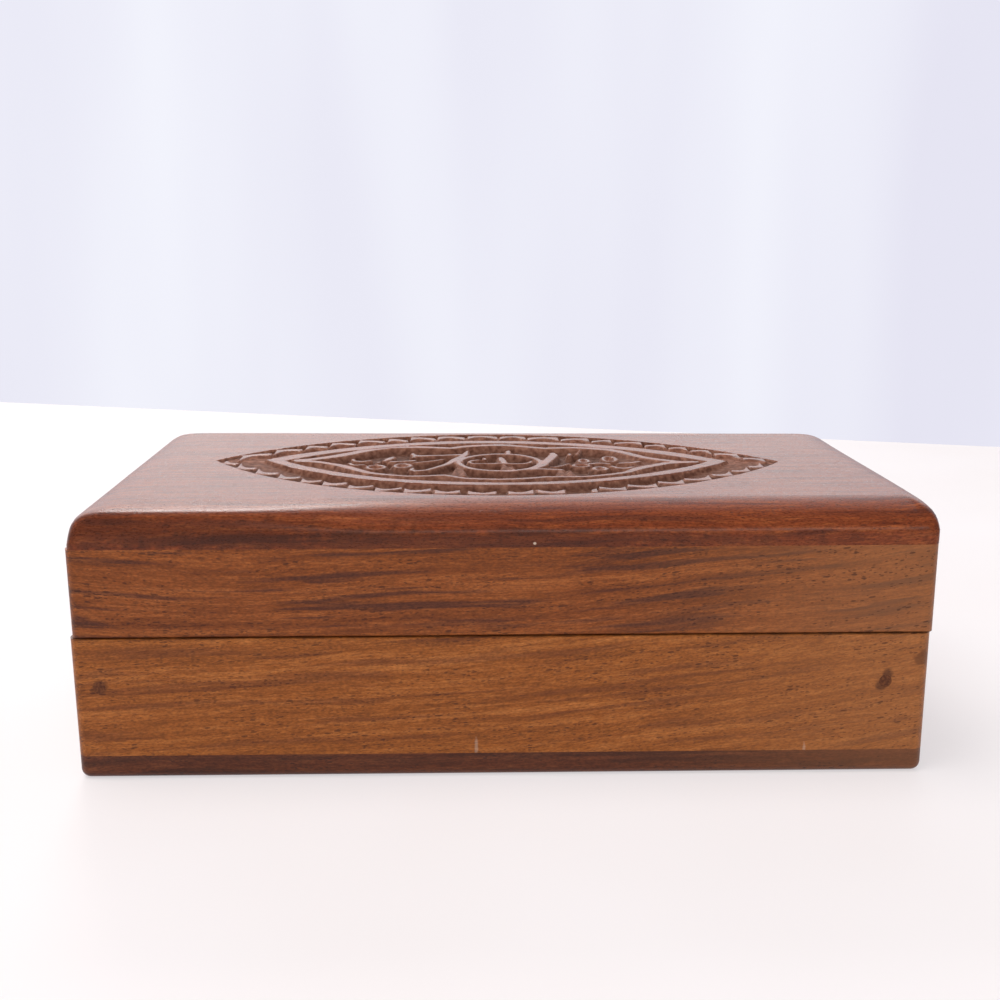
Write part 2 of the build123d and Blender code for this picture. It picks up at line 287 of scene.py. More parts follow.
def drawn_out(tree, wood, length, width, detail=2.0):
    """Noise with features of about this length along the grain and this width across it."""
    scaled = add(tree, "VectorMath", {0: wood, 1: per(length, width)}, operation="MULTIPLY").outputs[0]
    return add(tree, "TexNoise", {"Vector": scaled, "Scale": 1.0, "Detail": detail}).outputs["Fac"]


def ramp(tree, value, low, high, first=0.0, last=1.0):
    """The value, eased from `first` at `low` to `last` at `high`."""
    return add(tree, "MapRange", {"Value": value, "From Min": low, "From Max": high, "To Min": first,
                                  "To Max": last}, interpolation_type="SMOOTHSTEP").outputs[0]


def painted(tree, share, under, over):
    """Colour `over` laid on `under` by a share."""
    if isinstance(over, str):
        over = srgb(over)
    return add(tree, "Mix", {"Factor": share, "A": under, "B": over}, data_type="RGBA").outputs[2]


print("scale of the fibre", [round(v) for v in per(*FIBRE)])

# %% Grain, tone and pores
def grain_space(tree, place, shift, tilt, bow, across_board):
    """Place in the wood. The grain rises along the board by `tilt`, more and more by `bow`, and waves."""
    turn = (0, 0, math.pi / 2) if across_board else (0, 0, 0)
    board = add(tree, "Mapping", {"Vector": place, "Rotation": turn}).outputs[0]
    length = add(tree, "SeparateXYZ", {"Vector": board}).outputs[0]
    rise = add(tree, "Math", {0: length, 1: bow, 2: tilt}, operation="MULTIPLY_ADD").outputs[0]
    rise = add(tree, "Math", {0: rise, 1: length}, operation="MULTIPLY").outputs[0]
    rise = add(tree, "CombineXYZ", {"Z": rise}).outputs[0]
    board = add(tree, "VectorMath", {0: board, 1: rise}, operation="SUBTRACT").outputs[0]
    board = add(tree, "VectorMath", {0: board, 1: shift}, operation="ADD").outputs[0]
    slow = add(tree, "VectorMath", {0: board, 1: per(*GRAIN_WAVE)}, operation="MULTIPLY").outputs[0]
    bend = add(tree, "TexNoise", {"Vector": slow, "Scale": 1.0, "Detail": 2.0}).outputs["Color"]
    bend = add(tree, "VectorMath", {0: bend, 1: (0.5, 0.5, 0.5)}, operation="SUBTRACT").outputs[0]
    bend = add(tree, "VectorMath", {0: bend, 1: WAVE_REACH}, operation="MULTIPLY").outputs[0]
    return add(tree, "VectorMath", {0: board, 1: bend}, operation="ADD").outputs[0]


def layered(tree, wood, dark, middle, light):
    """Colour from growth layers round a far pith, long soft bands and short flecks."""
    flat = add(tree, "VectorMath", {0: wood, 1: (0, 1, 1)}, operation="MULTIPLY").outputs[0]
    reach = add(tree, "VectorMath", {0: flat, 1: PITH}, operation="DISTANCE").outputs["Value"]
    turns = add(tree, "Math", {0: reach, 1: LAYER_WIDTH}, operation="DIVIDE").outputs[0]
    layers = add(tree, "TexNoise", {"W": turns, "Scale": 1.0, "Detail": 5.0, "Roughness": 0.65},
                 noise_dimensions="1D").outputs["Fac"]
    bands = drawn_out(tree, wood, *LONG_BAND, 4.0)
    flecks = drawn_out(tree, wood, *FLECK, 3.0)
    tone = add(tree, "Mix", {"Factor": 0.5, "A": layers, "B": bands}, data_type="FLOAT").outputs[0]
    tone = add(tree, "Mix", {"Factor": 0.38, "A": tone, "B": flecks}, data_type="FLOAT").outputs[0]
    body = add(tree, "ValToRGB", {"Fac": tone}, stops=[(0.33, dark), (0.5, middle), (0.67, light)])
    return body.outputs["Color"]


def open_pores(tree, wood):
    """1 in a pore and 0 outside: short dashes of two sizes, in loose clusters."""
    cluster = drawn_out(tree, wood, *PORE_CLUSTER, 1.0)
    gain = ramp(tree, cluster, 0.36, 0.6, 0.4, 1.2)
    pore = None
    for spacing_along, spacing_across, rare in PORES:
        cells = add(tree, "VectorMath", {0: wood, 1: per(spacing_along, spacing_across)},
                    operation="MULTIPLY").outputs[0]
        cell = add(tree, "TexVoronoi", {"Vector": cells, "Scale": 1.0})
        pick = add(tree, "SeparateColor", {"Color": cell.outputs["Color"]}).outputs[0]
        size = add(tree, "MapRange", {"Value": pick, "From Min": rare, "To Min": -0.05, "To Max": 0.40})
        size = add(tree, "Math", {0: size.outputs[0], 1: gain}, operation="MULTIPLY").outputs[0]
        near = add(tree, "Math", {0: size, 1: cell.outputs["Distance"]}, operation="SUBTRACT").outputs[0]
        dash = ramp(tree, near, -0.02, 0.1)
        pore = dash if pore is None else add(tree, "Math", {0: pore, 1: dash}, operation="MAXIMUM").outputs[0]
    return pore


print("pores about", [round(along / MM, 1) for along, _, _ in PORES], "mm apart along the grain")

# %% [markdown]
# ### Dirt, painted shade, stains and cuts
# Dirt stays round the filled nail holes. The seam between lid and base is darkened by dirt and painted
# shade, and the arrises of the carving are painted dark brown. The cuts never had wax. Their wood is
# torn, grey-brown and dull, and is painted lighter where shallow and darker the deeper it lies, as
# painted light and shade. How bare and how shaded a point is comes from the mesh, as an attribute.

# %% Dirt, painted shade, stains and cuts
# dirt and painted shade in the seam between lid and base
SEAM_DIRT_AND_SHADE = "#2b150c"
# the arrises that stand out in the carving are painted this dark brown
DARK_ARRIS_BROWN = "#603828"
BARE_WOOD = [(0.3, "#4a2c21"), (0.52, "#644235"), (0.76, "#7b5849")]
RAGGED_SCALE = 420.0        # the edges of dirt waver over about 2.4 mm
TORN_FIBRE = 1.3 * MM
# painted light and shade: bare wood is this much brighter where shallow and darker where deep
SHALLOW_BRIGHTNESS = 1.8
DEEP_BRIGHTNESS = 0.58
BARE_ROUGHER = 0.45
TORN_BUMP = 1.6


def seam_dirt_and_shade(tree, place, ragged):
    """Share of dirt and painted shade: full in the seam between lid and base, and only near the outside of
    the box.
    """
    level = add(tree, "SeparateXYZ", {"Vector": place}).outputs[2]
    away = add(tree, "Math", {0: level, 1: SEAM_Z}, operation="SUBTRACT").outputs[0]
    away = add(tree, "Math", {0: away}, operation="ABSOLUTE").outputs[0]
    away = add(tree, "Math", {0: ragged, 1: -0.7 * MM, 2: away}, operation="MULTIPLY_ADD").outputs[0]
    spot = add(tree, "VectorMath", {0: place}, operation="ABSOLUTE").outputs[0]
    spot = add(tree, "VectorMath", {0: spot, 1: SEAM_DARKENED_FROM}, operation="SUBTRACT").outputs[0]
    spot = add(tree, "SeparateXYZ", {"Vector": spot}).outputs
    outer = add(tree, "Math", {0: spot[0], 1: spot[1]}, operation="MAXIMUM").outputs[0]
    outer = ramp(tree, outer, 0, 1.2 * MM, 0.0, 0.6)
    darkening = ramp(tree, away, -0.25 * MM, 0.1 * MM, 1.0, 0.0)
    return add(tree, "Math", {0: darkening, 1: outer}, operation="MULTIPLY").outputs[0]


def stained_and_shaded(tree, place, ragged, colour, marks_and_shade):
    """The colour with its stains, specks and painted shade: x, y, z, half length, half height, strength and
    colour of each.
    """
    for x, y, z, half_x, half_z, strength, mark_colour in marks_and_shade:
        away = add(tree, "VectorMath", {0: place, 1: (x * MM, y * MM, z * MM)}, operation="SUBTRACT")
        away = add(tree, "VectorMath", {0: away.outputs[0], 1: (1 / (half_x * MM), 200, 1 / (half_z * MM))},
                   operation="MULTIPLY").outputs[0]
        away = add(tree, "VectorMath", {0: away}, operation="LENGTH").outputs["Value"]
        away = add(tree, "Math", {0: ragged, 1: 1.6, 2: away}, operation="MULTIPLY_ADD").outputs[0]
        colour = painted(tree, ramp(tree, away, 1.25, 1.95, strength, 0.0), colour, mark_colour)
    return colour


def cut_open(tree, place, colour, rough, height):
    """Colour, roughness and bump height with arrises painted dark brown, and bare, torn wood in the cuts that
    is painted lighter where shallow and darker where deep.
    """
    # how bare a point is, and how much shade is painted on it
    depth = add(tree, "Attribute", attribute_name="bare_wood_shade").outputs["Fac"]
    dark_arris_share = add(tree, "Attribute", attribute_name="dark_arris").outputs["Fac"]
    torn = add(tree, "TexNoise", {"Vector": place, "Scale": 1 / TORN_FIBRE, "Detail": 3.0}).outputs["Fac"]
    bare = add(tree, "ValToRGB", {"Fac": torn}, stops=BARE_WOOD).outputs["Color"]
    # painted light and shade: lighter where the cut is shallow, darker deeper down
    dusk = add(tree, "MapRange", {"Value": depth, "From Min": 0.08, "From Max": 0.9,
                                  "To Min": SHALLOW_BRIGHTNESS, "To Max": DEEP_BRIGHTNESS}).outputs[0]
    bare = add(tree, "VectorMath", {0: bare, 1: dusk}, operation="MULTIPLY").outputs[0]
    raw = ramp(tree, depth, 0.01, 0.08)
    # arrises that stand out are painted dark brown
    colour = painted(tree, dark_arris_share, colour, DARK_ARRIS_BROWN)
    colour = painted(tree, raw, colour, bare)
    rough = add(tree, "Math", {0: raw, 1: BARE_ROUGHER, 2: rough}, operation="MULTIPLY_ADD").outputs[0]
    torn = add(tree, "Math", {0: torn, 1: raw}, operation="MULTIPLY").outputs[0]
    height = add(tree, "Math", {0: torn, 1: TORN_BUMP, 2: height}, operation="MULTIPLY_ADD").outputs[0]
    return colour, rough, height


print("ground of the cuts has lumps of", round(TORN_FIBRE / MM, 1), "mm")

# %% Rosewood
# painted light: a paler tone laid on the boards towards their right end
PAINTED_LIGHT_TONE = "#a5724a"
PAINTED_LIGHT_X = (0.02, 0.11)   # metres: painted light, the boards are painted paler towards their right end
BUMP_HEIGHT = 0.12 * MM


def rosewood(name, tones, shift, tilt=0.0, bow=0.0, across_board=False, smoke=0.5, pores=0.66, marks_and_shade=(),
             painted_light=0.0, carved=False, roughness=(0.28, 0.42), bump=0.4):
    """Waxed rosewood. tones: dark, middle and light wood, smoke and pores, as hex."""
    dark, middle, light, smoke_colour, pore_colour = tones
    material, tree = new_material(name)
    place = add(tree, "TexCoord").outputs["Object"]
    wood = grain_space(tree, place, shift, tilt, bow, across_board)
    colour = layered(tree, wood, dark, middle, light)

    # smoky streaks, the sparkle of short fibres, and the pores
    streak = drawn_out(tree, wood, *STREAK, 4.0)
    colour = painted(tree, ramp(tree, streak, 0.50, 0.66, 0.0, smoke), colour, smoke_colour)
    fibre = drawn_out(tree, wood, *FIBRE)
    lift = add(tree, "MapRange", {"Value": fibre, "From Min": 0.3, "From Max": 0.7, "To Min": 0.68,
                                  "To Max": 1.32}).outputs[0]
    colour = add(tree, "VectorMath", {0: colour, 1: lift}, operation="MULTIPLY").outputs[0]
    # painted light: paler towards the right end
    if painted_light:
        along = add(tree, "SeparateXYZ", {"Vector": place}).outputs[0]
        colour = painted(tree, ramp(tree, along, *PAINTED_LIGHT_X, 0.0, painted_light), colour, PAINTED_LIGHT_TONE)
    pore = open_pores(tree, wood)
    open_share = add(tree, "Math", {0: pore, 1: pores}, operation="MULTIPLY").outputs[0]
    colour = painted(tree, open_share, colour, pore_colour)
    rough = ramp(tree, fibre, 0.3, 0.7, *roughness)
    height = add(tree, "Math", {0: fibre, 1: 0.3}, operation="MULTIPLY").outputs[0]
    height = add(tree, "Math", {0: height, 1: pore}, operation="SUBTRACT").outputs[0]

    ragged = add(tree, "TexNoise", {"Vector": place, "Scale": RAGGED_SCALE, "Detail": 2.0}).outputs["Fac"]
    if not carved:
        # dirt and painted shade along the seam
        colour = painted(tree, seam_dirt_and_shade(tree, place, ragged), colour, SEAM_DIRT_AND_SHADE)
    # stains, specks and painted shade
    colour = stained_and_shaded(tree, place, ragged, colour, marks_and_shade)
    if carved:
        colour, rough, height = cut_open(tree, place, colour, rough, height)

    relief_bump = add(tree, "Bump", {"Height": height, "Strength": bump, "Distance": BUMP_HEIGHT}).outputs[0]
    skin = add(tree, "BsdfPrincipled", {"Base Color": colour, "Roughness": rough, "Normal": relief_bump,
                                        "IOR": WAX_IOR, "Specular IOR Level": WAX_LEVEL})
    add(tree, "OutputMaterial", {"Surface": skin.outputs["BSDF"]})
    return material


# %% [markdown]
# The tones are read from the photograph's plain daylight: golden brown base walls, slightly redder lid
# walls with more smoke, a dark chocolate bottom board and a red-brown lid board.

# %% One finish for each board
GOLDEN = ("#703b12", "#92531f", "#b37038", "#5a2c16", "#3f1c0a")
SMOKY = ("#5e2c0c", "#81441a", "#a35f2e", "#42211a", "#361708")
CHOCOLATE = ("#451f10", "#5c2f1a", "#764428", "#2f1812", "#24100a")
RUSSET = ("#55220e", "#773718", "#9a5429", "#431d14", "#2c110a")
DARK_STAIN = "#43200f"
# painted shade at the foot of the lid board's front
PAINTED_SHADE_FOOT = "#3a1a0d"
PALE_SPECK = "#d9c7b4"

# the stain round the left filler, three at the right end, and two pale specks by the foot
FRONT_MARKS = [
    (-95.1, -51, 23.4, 2.3, 2.1, 0.6, DARK_STAIN),
    (91.2, -51, 25.2, 1.4, 1.9, 0.7, DARK_STAIN),
    (90.0, -51, 22.6, 2.3, 1.5, 0.7, DARK_STAIN),
    (99.4, -51, 29.2, 2.6, 2.2, 0.5, DARK_STAIN),
    (-6.5, -51, 7.6, 0.5, 2.4, 0.25, PALE_SPECK),
    (72.3, -51, 6.1, 0.4, 2.2, 0.25, PALE_SPECK),
]
# painted shade darkens the front of the lid board at its foot, higher up at the left; it also has one pale
# speck
LID_MARKS_AND_SHADE = [
    (-10, -51, 58.6, 95, 3.0, 0.5, PAINTED_SHADE_FOOT),
    (-80, -51, 61.0, 60, 4.5, 0.45, PAINTED_SHADE_FOOT),
    (7.4, -50.9, 58.0, 0.4, 0.35, 0.8, PALE_SPECK),
]
finishes = {
    "base_front": rosewood("rosewood_base_front", GOLDEN, (0.11, 0.02, 0.013), 0.085, 0.35, marks_and_shade=FRONT_MARKS,
                           smoke=0.5, painted_light=0.3),
    "base_back": rosewood("rosewood_base_back", GOLDEN, (0.51, 0.33, 0.043), -0.03, 0.2),
    "base_left": rosewood("rosewood_base_left", GOLDEN, (0.21, 0.62, 0.023), 0.04, across_board=True),
    "base_right": rosewood("rosewood_base_right", GOLDEN, (0.91, 0.12, 0.053), -0.06, across_board=True),
    "base_bottom": rosewood("rosewood_bottom", CHOCOLATE, (0.31, 0.42, 0.083), 0.02, painted_light=0.25),
    "lid_front": rosewood("rosewood_lid_front", SMOKY, (0.71, 0.22, 0.033), 0.05, 0.5, smoke=0.75,
                          painted_light=0.4),
    "lid_back": rosewood("rosewood_lid_back", SMOKY, (0.41, 0.82, 0.063), 0.03, -0.3, smoke=0.7),
    "lid_left": rosewood("rosewood_lid_left", SMOKY, (0.61, 0.72, 0.073), -0.05, across_board=True),
    "lid_right": rosewood("rosewood_lid_right", SMOKY, (0.81, 0.52, 0.093), 0.05, across_board=True),
}
for node, material in finishes.items():
    dress(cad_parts[node], material)
print("boards dressed", len(finishes))

# %% [markdown]
# ## Filler, steel and brass
# Each corner of the base is held by a panel pin, driven under the face and stopped with tinted filler.
# The filler is a dull paste of glue and wood dust. The pins are plain drawn steel, which only a cut
# through the board would show. The hinges and their screws are rolled and turned brass: bright where
# they rub, browner in the corners.

# %% Filler, steel and brass
FILLER_DUST = 0.7 * MM
TARNISH = 4 * MM            # width of a patch
TARNISH_ROUGHER = 0.22
DRAWN_LINE = 0.08 * MM

material, tree = new_material("tinted_wood_filler")
place = add(tree, "TexCoord").outputs["Object"]
dust = add(tree, "TexNoise", {"Vector": place, "Scale": 1 / FILLER_DUST, "Detail": 3.0}).outputs["Fac"]
paste = add(tree, "ValToRGB", {"Fac": dust}, stops=[(0.35, "#47230f"), (0.65, "#6e3d1d")]).outputs["Color"]
dent = add(tree, "Bump", {"Height": dust, "Strength": 0.4, "Distance": 0.1 * MM}).outputs[0]
skin = add(tree, "BsdfPrincipled", {"Base Color": paste, "Roughness": 0.62, "Normal": dent,
                                    "Specular IOR Level": WAX_LEVEL})
add(tree, "OutputMaterial", {"Surface": skin.outputs["BSDF"]})
dress(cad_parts["nail_plugs"], material)


def metal(name, bright, dull, roughness, grain):
    """Metal with tarnish in large soft patches and fine drawn lines along X."""
    material, tree = new_material(name)
    place = add(tree, "TexCoord").outputs["Object"]
    patches = add(tree, "TexNoise", {"Vector": place, "Scale": 1 / TARNISH, "Detail": 4.0}).outputs["Fac"]
    colour = painted(tree, ramp(tree, patches, 0.42, 0.7), srgb(bright), dull)
    drawn = drawn_out(tree, place, grain, DRAWN_LINE)
    rough = ramp(tree, patches, 0.35, 0.7, roughness, roughness + TARNISH_ROUGHER)
    dent = add(tree, "Bump", {"Height": drawn, "Strength": 0.25, "Distance": 0.03 * MM}).outputs[0]
    skin = add(tree, "BsdfPrincipled", {"Base Color": colour, "Metallic": 1.0, "Roughness": rough,
                                        "Normal": dent})
    add(tree, "OutputMaterial", {"Surface": skin.outputs["BSDF"]})
    return material


brass = metal("rolled_brass", "#d8b46a", "#8a6636", 0.26, 3 * MM)
steel = metal("drawn_steel", "#b9b7b3", "#7a7570", 0.35, 1 * MM)
for node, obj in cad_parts.items():
    if node.startswith("hinge") or node.endswith("screws"):
        dress(obj, brass)
dress(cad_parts["base_nails"], steel)
print("metal pieces", sum(o.data.materials[0] in (brass, steel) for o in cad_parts.values()))

# %% [markdown]
# ## The carved lid board
# The carver shaped this board from one thick piece: first the four upper edges were rolled over with a
# plane and sandpaper, then the almond-shaped relief was sunk into the flat top with gouges and knives.
# A relief like this can be sculpted, cut with booleans, or built by moving the points of a grid.
# Moving points wins here: every cut is a depth that depends on the distance to a line, so slopes, worn
# arrises and rough ground come out soft, as wood does, and the mesh stays even.
# A grid is made first and its rows and columns are spread out: fine under the carving, coarse on the
# bare wood, and closer together again round the rolled edges.

# %% Lid board: sizes and edge sections
LID_LOW, LID_HIGH = (np.array(c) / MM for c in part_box("lid_top"))
FINE_CELL = 0.425
COARSE_CELL = 1.3
FINE_X = (-78.2, 77.0)
FINE_Y = (-38.7, 45.5)
CORNER_ROUND = 2.3
CORNER_SWELL = 10.0         # a corner is rounder halfway round the roll
TOP_MEAN = 66.08
THICKER_AT_LEFT = 0.7       # at the back edge; the front edge is level
HAND_PLANED = 0.08          # the plane left waves of this height

# sections of a rolled edge: how far in from the side, and how far below the top
SOFT = ((0.45, 8.2), (0.65, 6.2), (1.1, 4.3), (1.95, 2.7), (3.5, 1.5), (5.8, 0.75), (9.2, 0.25), (14.0, 0))
CREASED = ((0, 7.4), (0.1, 5.8), (0.35, 4.2), (0.75, 2.9), (1.25, 1.75), (2.0, 0.95), (4.8, 0.38), (12.0, 0))
FACETED = ((0, 6.9), (0.1, 5.7), (0.55, 4.6), (1.4, 3.6), (2.8, 2.55), (4.8, 1.5), (8.2, 0.5), (12.0, 0))
TIGHT = ((0, 5.6), (0.2, 3.9), (0.55, 2.6), (1.2, 1.5), (2.1, 0.75), (3.1, 0.3), (4.2, 0.08), (5.4, 0))
FACET_FROM_X = -64.0
FACET_WHOLE_AT_X = -22.0


def smooth_line(points, steps=8):
    """Points along a smooth line (Catmull-Rom) through rows of numbers."""
    knots = np.array(points, float)
    knots = np.vstack([2 * knots[0] - knots[1], knots, 2 * knots[-1] - knots[-2]])
    line = []
    for a, b, c, d in zip(knots, knots[1:], knots[2:], knots[3:]):
        for t in np.arange(steps) / steps:
            line.append(0.5 * (2 * b + (c - a) * t + (2 * a - 5 * b + 4 * c - d) * t ** 2
                               + (3 * b - a - 3 * c + d) * t ** 3))
    line.append(knots[-2])
    return np.array(line)


ROLL_STEPS = len(smooth_line(SOFT, 2)) - 1


def section(points, level):
    """Distance in and drop of a section where the level is 1 at the side and 0 on the flat top."""
    line = np.maximum(smooth_line(points, 2), 0)
    step = (1 - level) * ROLL_STEPS
    count = np.arange(ROLL_STEPS + 1)
    return np.interp(step, count, line[:, 0]), np.interp(step, count, line[:, 1])


def blended(first, second, share, level):
    """Section between two others; the share eases from the first to the second."""
    eased = share * share * (3 - 2 * share)
    (in_a, drop_a), (in_b, drop_b) = section(first, level), section(second, level)
    return in_a + (in_b - in_a) * eased, drop_a + (drop_b - drop_a) * eased


def share_between(value, low, high):
    """How far a value has come from `low` to `high`, from 0 to 1."""
    return np.clip((value - low) / (high - low), 0, 1)


print("steps round a rolled edge", ROLL_STEPS)

# %% Lid board: where the rows and columns go
def spread(low, high, fine, first, last):
    """Level, side and plain place of each row or column, from one side of the board to the other."""
    level = np.linspace(1, 0, ROLL_STEPS + 1)
    first_in = section(first, level)[0]
    last_in = section(last, level)[0]
    start, stop = low + first_in[-1], high - last_in[-1]
    before = np.linspace(start, fine[0], max(1, round((fine[0] - start) / COARSE_CELL)) + 1)[1:]
    middle = np.linspace(*fine, round((fine[1] - fine[0]) / FINE_CELL) + 1)[1:]
    after = np.linspace(fine[1], stop, max(1, round((stop - fine[1]) / COARSE_CELL)) + 1)[1:-1]
    flat = np.concatenate([before, middle, after])
    share = np.concatenate([level, np.zeros(len(flat)), level[::-1]])
    side = np.concatenate([-np.ones(len(level)), np.zeros(len(flat)), np.ones(len(level))])
    place = np.concatenate([low + first_in, flat, high - last_in[::-1]])
    return share, side, place


share_x, side_x, place_x = spread(LID_LOW[0], LID_HIGH[0], FINE_X, SOFT, SOFT)
share_y, side_y, place_y = spread(LID_LOW[1], LID_HIGH[1], FINE_Y, CREASED, TIGHT)
columns, rows = len(place_x) - 1, len(place_y) - 1
print("cells", columns, "x", rows, "triangles", 2 * columns * rows)

# %% Lid board: the blank with its rolled edges
fit_x, fit_y = np.meshgrid(place_x, place_y)
roll_a, roll_b = np.meshgrid(share_x, share_y)
sign_x, sign_y = np.meshgrid(side_x, side_y)
inward = (fit_y - LID_LOW[1]) / (LID_HIGH[1] - LID_LOW[1])
faceted = share_between(fit_x, FACET_FROM_X, FACET_WHOLE_AT_X)


def on_side(level):
    """Distance in and drop at a level, for the nearer end and the nearer long side of each point."""
    left = section(SOFT, level)
    right = blended(TIGHT, SOFT, inward, level)
    front = blended(CREASED, FACETED, faceted, level)
    back = section(TIGHT, level)
    ends = [np.where(sign_x < 0, a, b) for a, b in zip(left, right)]
    sides = [np.where(sign_y < 0, a, b) for a, b in zip(front, back)]
    return ends, sides


edge_x = np.where(sign_x < 0, LID_LOW[0], LID_HIGH[0])
edge_y = np.where(sign_y < 0, LID_LOW[1], LID_HIGH[1])
plan_x = np.where(sign_x == 0, fit_x, edge_x - sign_x * on_side(roll_a)[0][0])
plan_y = np.where(sign_y == 0, fit_y, edge_y - sign_y * on_side(roll_b)[1][0])

# upright corners: each level line of the roll gets a rounded corner
level = np.maximum(roll_a, roll_b)
(end_in, end_drop), (side_in, side_drop) = on_side(level)
corner = CORNER_ROUND * level + CORNER_SWELL * level * (1 - level)
middle_x = edge_x - sign_x * (end_in + corner)
middle_y = edge_y - sign_y * (side_in + corner)
past_x = (plan_x - middle_x) * sign_x
past_y = (plan_y - middle_y) * sign_y
in_corner = (sign_x != 0) & (sign_y != 0) & (past_x > 0) & (past_y > 0)
square = np.maximum(past_x, past_y)
round_off = np.where(in_corner, square / np.maximum(np.hypot(past_x, past_y), 1e-9), 1.0)
plan_x = np.where(in_corner, middle_x + sign_x * past_x * round_off, plan_x)
plan_y = np.where(in_corner, middle_y + sign_y * past_y * round_off, plan_y)

weight_x = roll_a ** 2 + 1e-9
weight_y = roll_b ** 2 + 1e-9
drop = np.where(level > 0, (end_drop * weight_x + side_drop * weight_y) / (weight_x + weight_y), 0)
print("roll drops up to", round(float(drop.max()), 2), "mm")

# %% [markdown]
# ### Tools for the relief
# A raised stroke is a smooth line through a few points with a width at each point. What the depth
# needs is the distance from every grid point to the stroke's edge, so one function works that out for
# any stroke, and the almond shapes and the ring have short formulas of their own.

# %% Relief: distances
FAR = 3.0                   # mm from a stroke: further away, the distance isn't needed


def from_stroke(x, y, points, reach=FAR):
    """Distance from a stroke's edge: negative inside it, `reach` where it is further than that."""
    line = smooth_line(points)
    margin = reach + line[:, 2].max()
    low, high = line[:, :2].min(0) - margin, line[:, :2].max(0) + margin
    near = (x > low[0]) & (x < high[0]) & (y > low[1]) & (y < high[1])
    px, py = x[near], y[near]
    best = np.full(px.shape, reach)
    for (ax, ay, aw), (bx, by, bw) in zip(line, line[1:]):
        dx, dy = bx - ax, by - ay
        t = np.clip(((px - ax) * dx + (py - ay) * dy) / max(dx * dx + dy * dy, 1e-9), 0, 1)
        away = np.hypot(px - ax - t * dx, py - ay - t * dy) - (aw + (bw - aw) * t) / 2
        best = np.minimum(best, away)
    result = np.full(x.shape, reach)
    result[near] = best
    return result


def from_almond(x, y, middle, half_length, front, back):
    """Distance from a pointed oval between two arcs, negative inside."""
    half_width = np.where(y < middle[1], front, back)
    arc = (half_length ** 2 + half_width ** 2) / (2 * half_width)
    side = np.abs(y - middle[1]) + arc - half_width
    return np.hypot(x - middle[0], side) - arc


def from_oval(x, y, middle, half_x, half_y):
    """Distance from an ellipse, negative inside, close to right near its edge."""
    u, v = (x - middle[0]) / half_x, (y - middle[1]) / half_y
    k = np.hypot(u, v)
    slope = np.hypot(u / half_x, v / half_y)
    return k * (k - 1) / np.maximum(slope, 1e-9)


def inside(x, y, line):
    """True where a point is inside a closed outline."""
    odd = np.zeros(x.shape, bool)
    for (ax, ay), (bx, by) in zip(line, np.roll(line, -1, axis=0)):
        crosses = (ay > y) != (by > y)
        odd ^= crosses & (x < (bx - ax) * (y - ay) / (by - ay + 1e-12) + ax)
    return odd


def raised(away, top, slope, worn=0.07, round_width=0.3):
    """Height of a raised piece: a worn arris inside its edge and a sloping wall outside."""
    arris = np.clip(1 + away / round_width, 0, 1) ** 2 * worn
    return top - np.where(away < 0, arris, worn + away * slope)


print("one stroke has", len(smooth_line([(0, 0, 1), (1, 1, 1), (2, 0, 1)])), "points")

# %% [markdown]
# ### The carver's lines
# All places are in millimetres on the lid, read off the photograph as if it all lay at the
# lid's surface. A stroke that lies lower looks nearer to the front from there, so its line is moved back
# by its depth over the slope of the sight line. The almond sits a little askew: its right tip is nearer
# to the front. The middle band is two arcs, with two runs of bows inside them that meet in cusps. The
# field holds a ring with a palmette, stems that leave it on both sides, and two flowers.

# %% Relief: the lines
ASKEW = 0.023               # how fast the almond's middle line runs towards the front
ALMOND = ((-0.7, 4.1), 76.4, 41.3, 39.7)        # middle, half length, half widths at front and back
BAND_OUTSIDE = ((-1.0, 5.1), 63.05, 30.8, 29.2)
BAND_INSIDE = ((-1.0, 4.3), 57.2, 26.7, 25.8)

LOBES_BACK = [
    [(-55.1, 6.2, 2.6), (-51.6, 7.4, 2.8), (-47.8, 9.9, 3.2), (-43.3, 13.7, 3.6), (-37.0, 20.3, 3.3),
     (-33.7, 22.8, 3.1), (-29.9, 24.3, 3.0), (-22.0, 24.6, 2.8), (-13.7, 22.8, 2.4)],
    [(-13.7, 22.8, 2.4), (-10.8, 24.9, 2.5), (-7.8, 26.2, 2.6), (-3.7, 27.2, 2.7), (0.5, 27.5, 2.7),
     (3.4, 27.0, 2.7), (7.2, 25.3, 2.5), (13.0, 22.8, 2.4)],
    [(13.0, 22.8, 2.4), (21.3, 23.5, 2.5), (28.8, 21.2, 2.8), (32.2, 19.5, 3.0), (35.1, 16.2, 3.3),
     (40.1, 9.1, 3.0), (46.8, 4.1, 2.7), (50.1, 2.8, 2.6), (53.4, 2.7, 2.2)],
]
LOBES_FRONT = [
    [(-55.1, 5.4, 2.6), (-50.0, 4.2, 2.6), (-45.5, 1.4, 2.2), (-41.2, -2.2, 2.9), (-36.2, -8.0, 2.7),
     (-33.3, -10.5, 2.2), (-27.0, -13.4, 1.9), (-22.4, -14.3, 1.8), (-14.5, -13.6, 1.8)],
    [(-14.5, -13.6, 1.8), (-12.4, -15.1, 1.7), (-9.1, -17.4, 1.7), (-4.5, -18.4, 1.8), (0.2, -18.7, 1.8),
     (4.3, -18.2, 1.8), (8.4, -17.2, 1.8), (11.8, -15.8, 1.7)],
    [(11.8, -15.8, 1.7), (18.8, -16.0, 1.8), (23.0, -15.5, 1.8), (31.3, -11.8, 2.1), (34.3, -9.3, 2.4),
     (36.8, -5.9, 2.8), (43.0, -0.5, 2.7), (46.3, 1.6, 2.7), (53.4, 2.7, 2.2)],
]

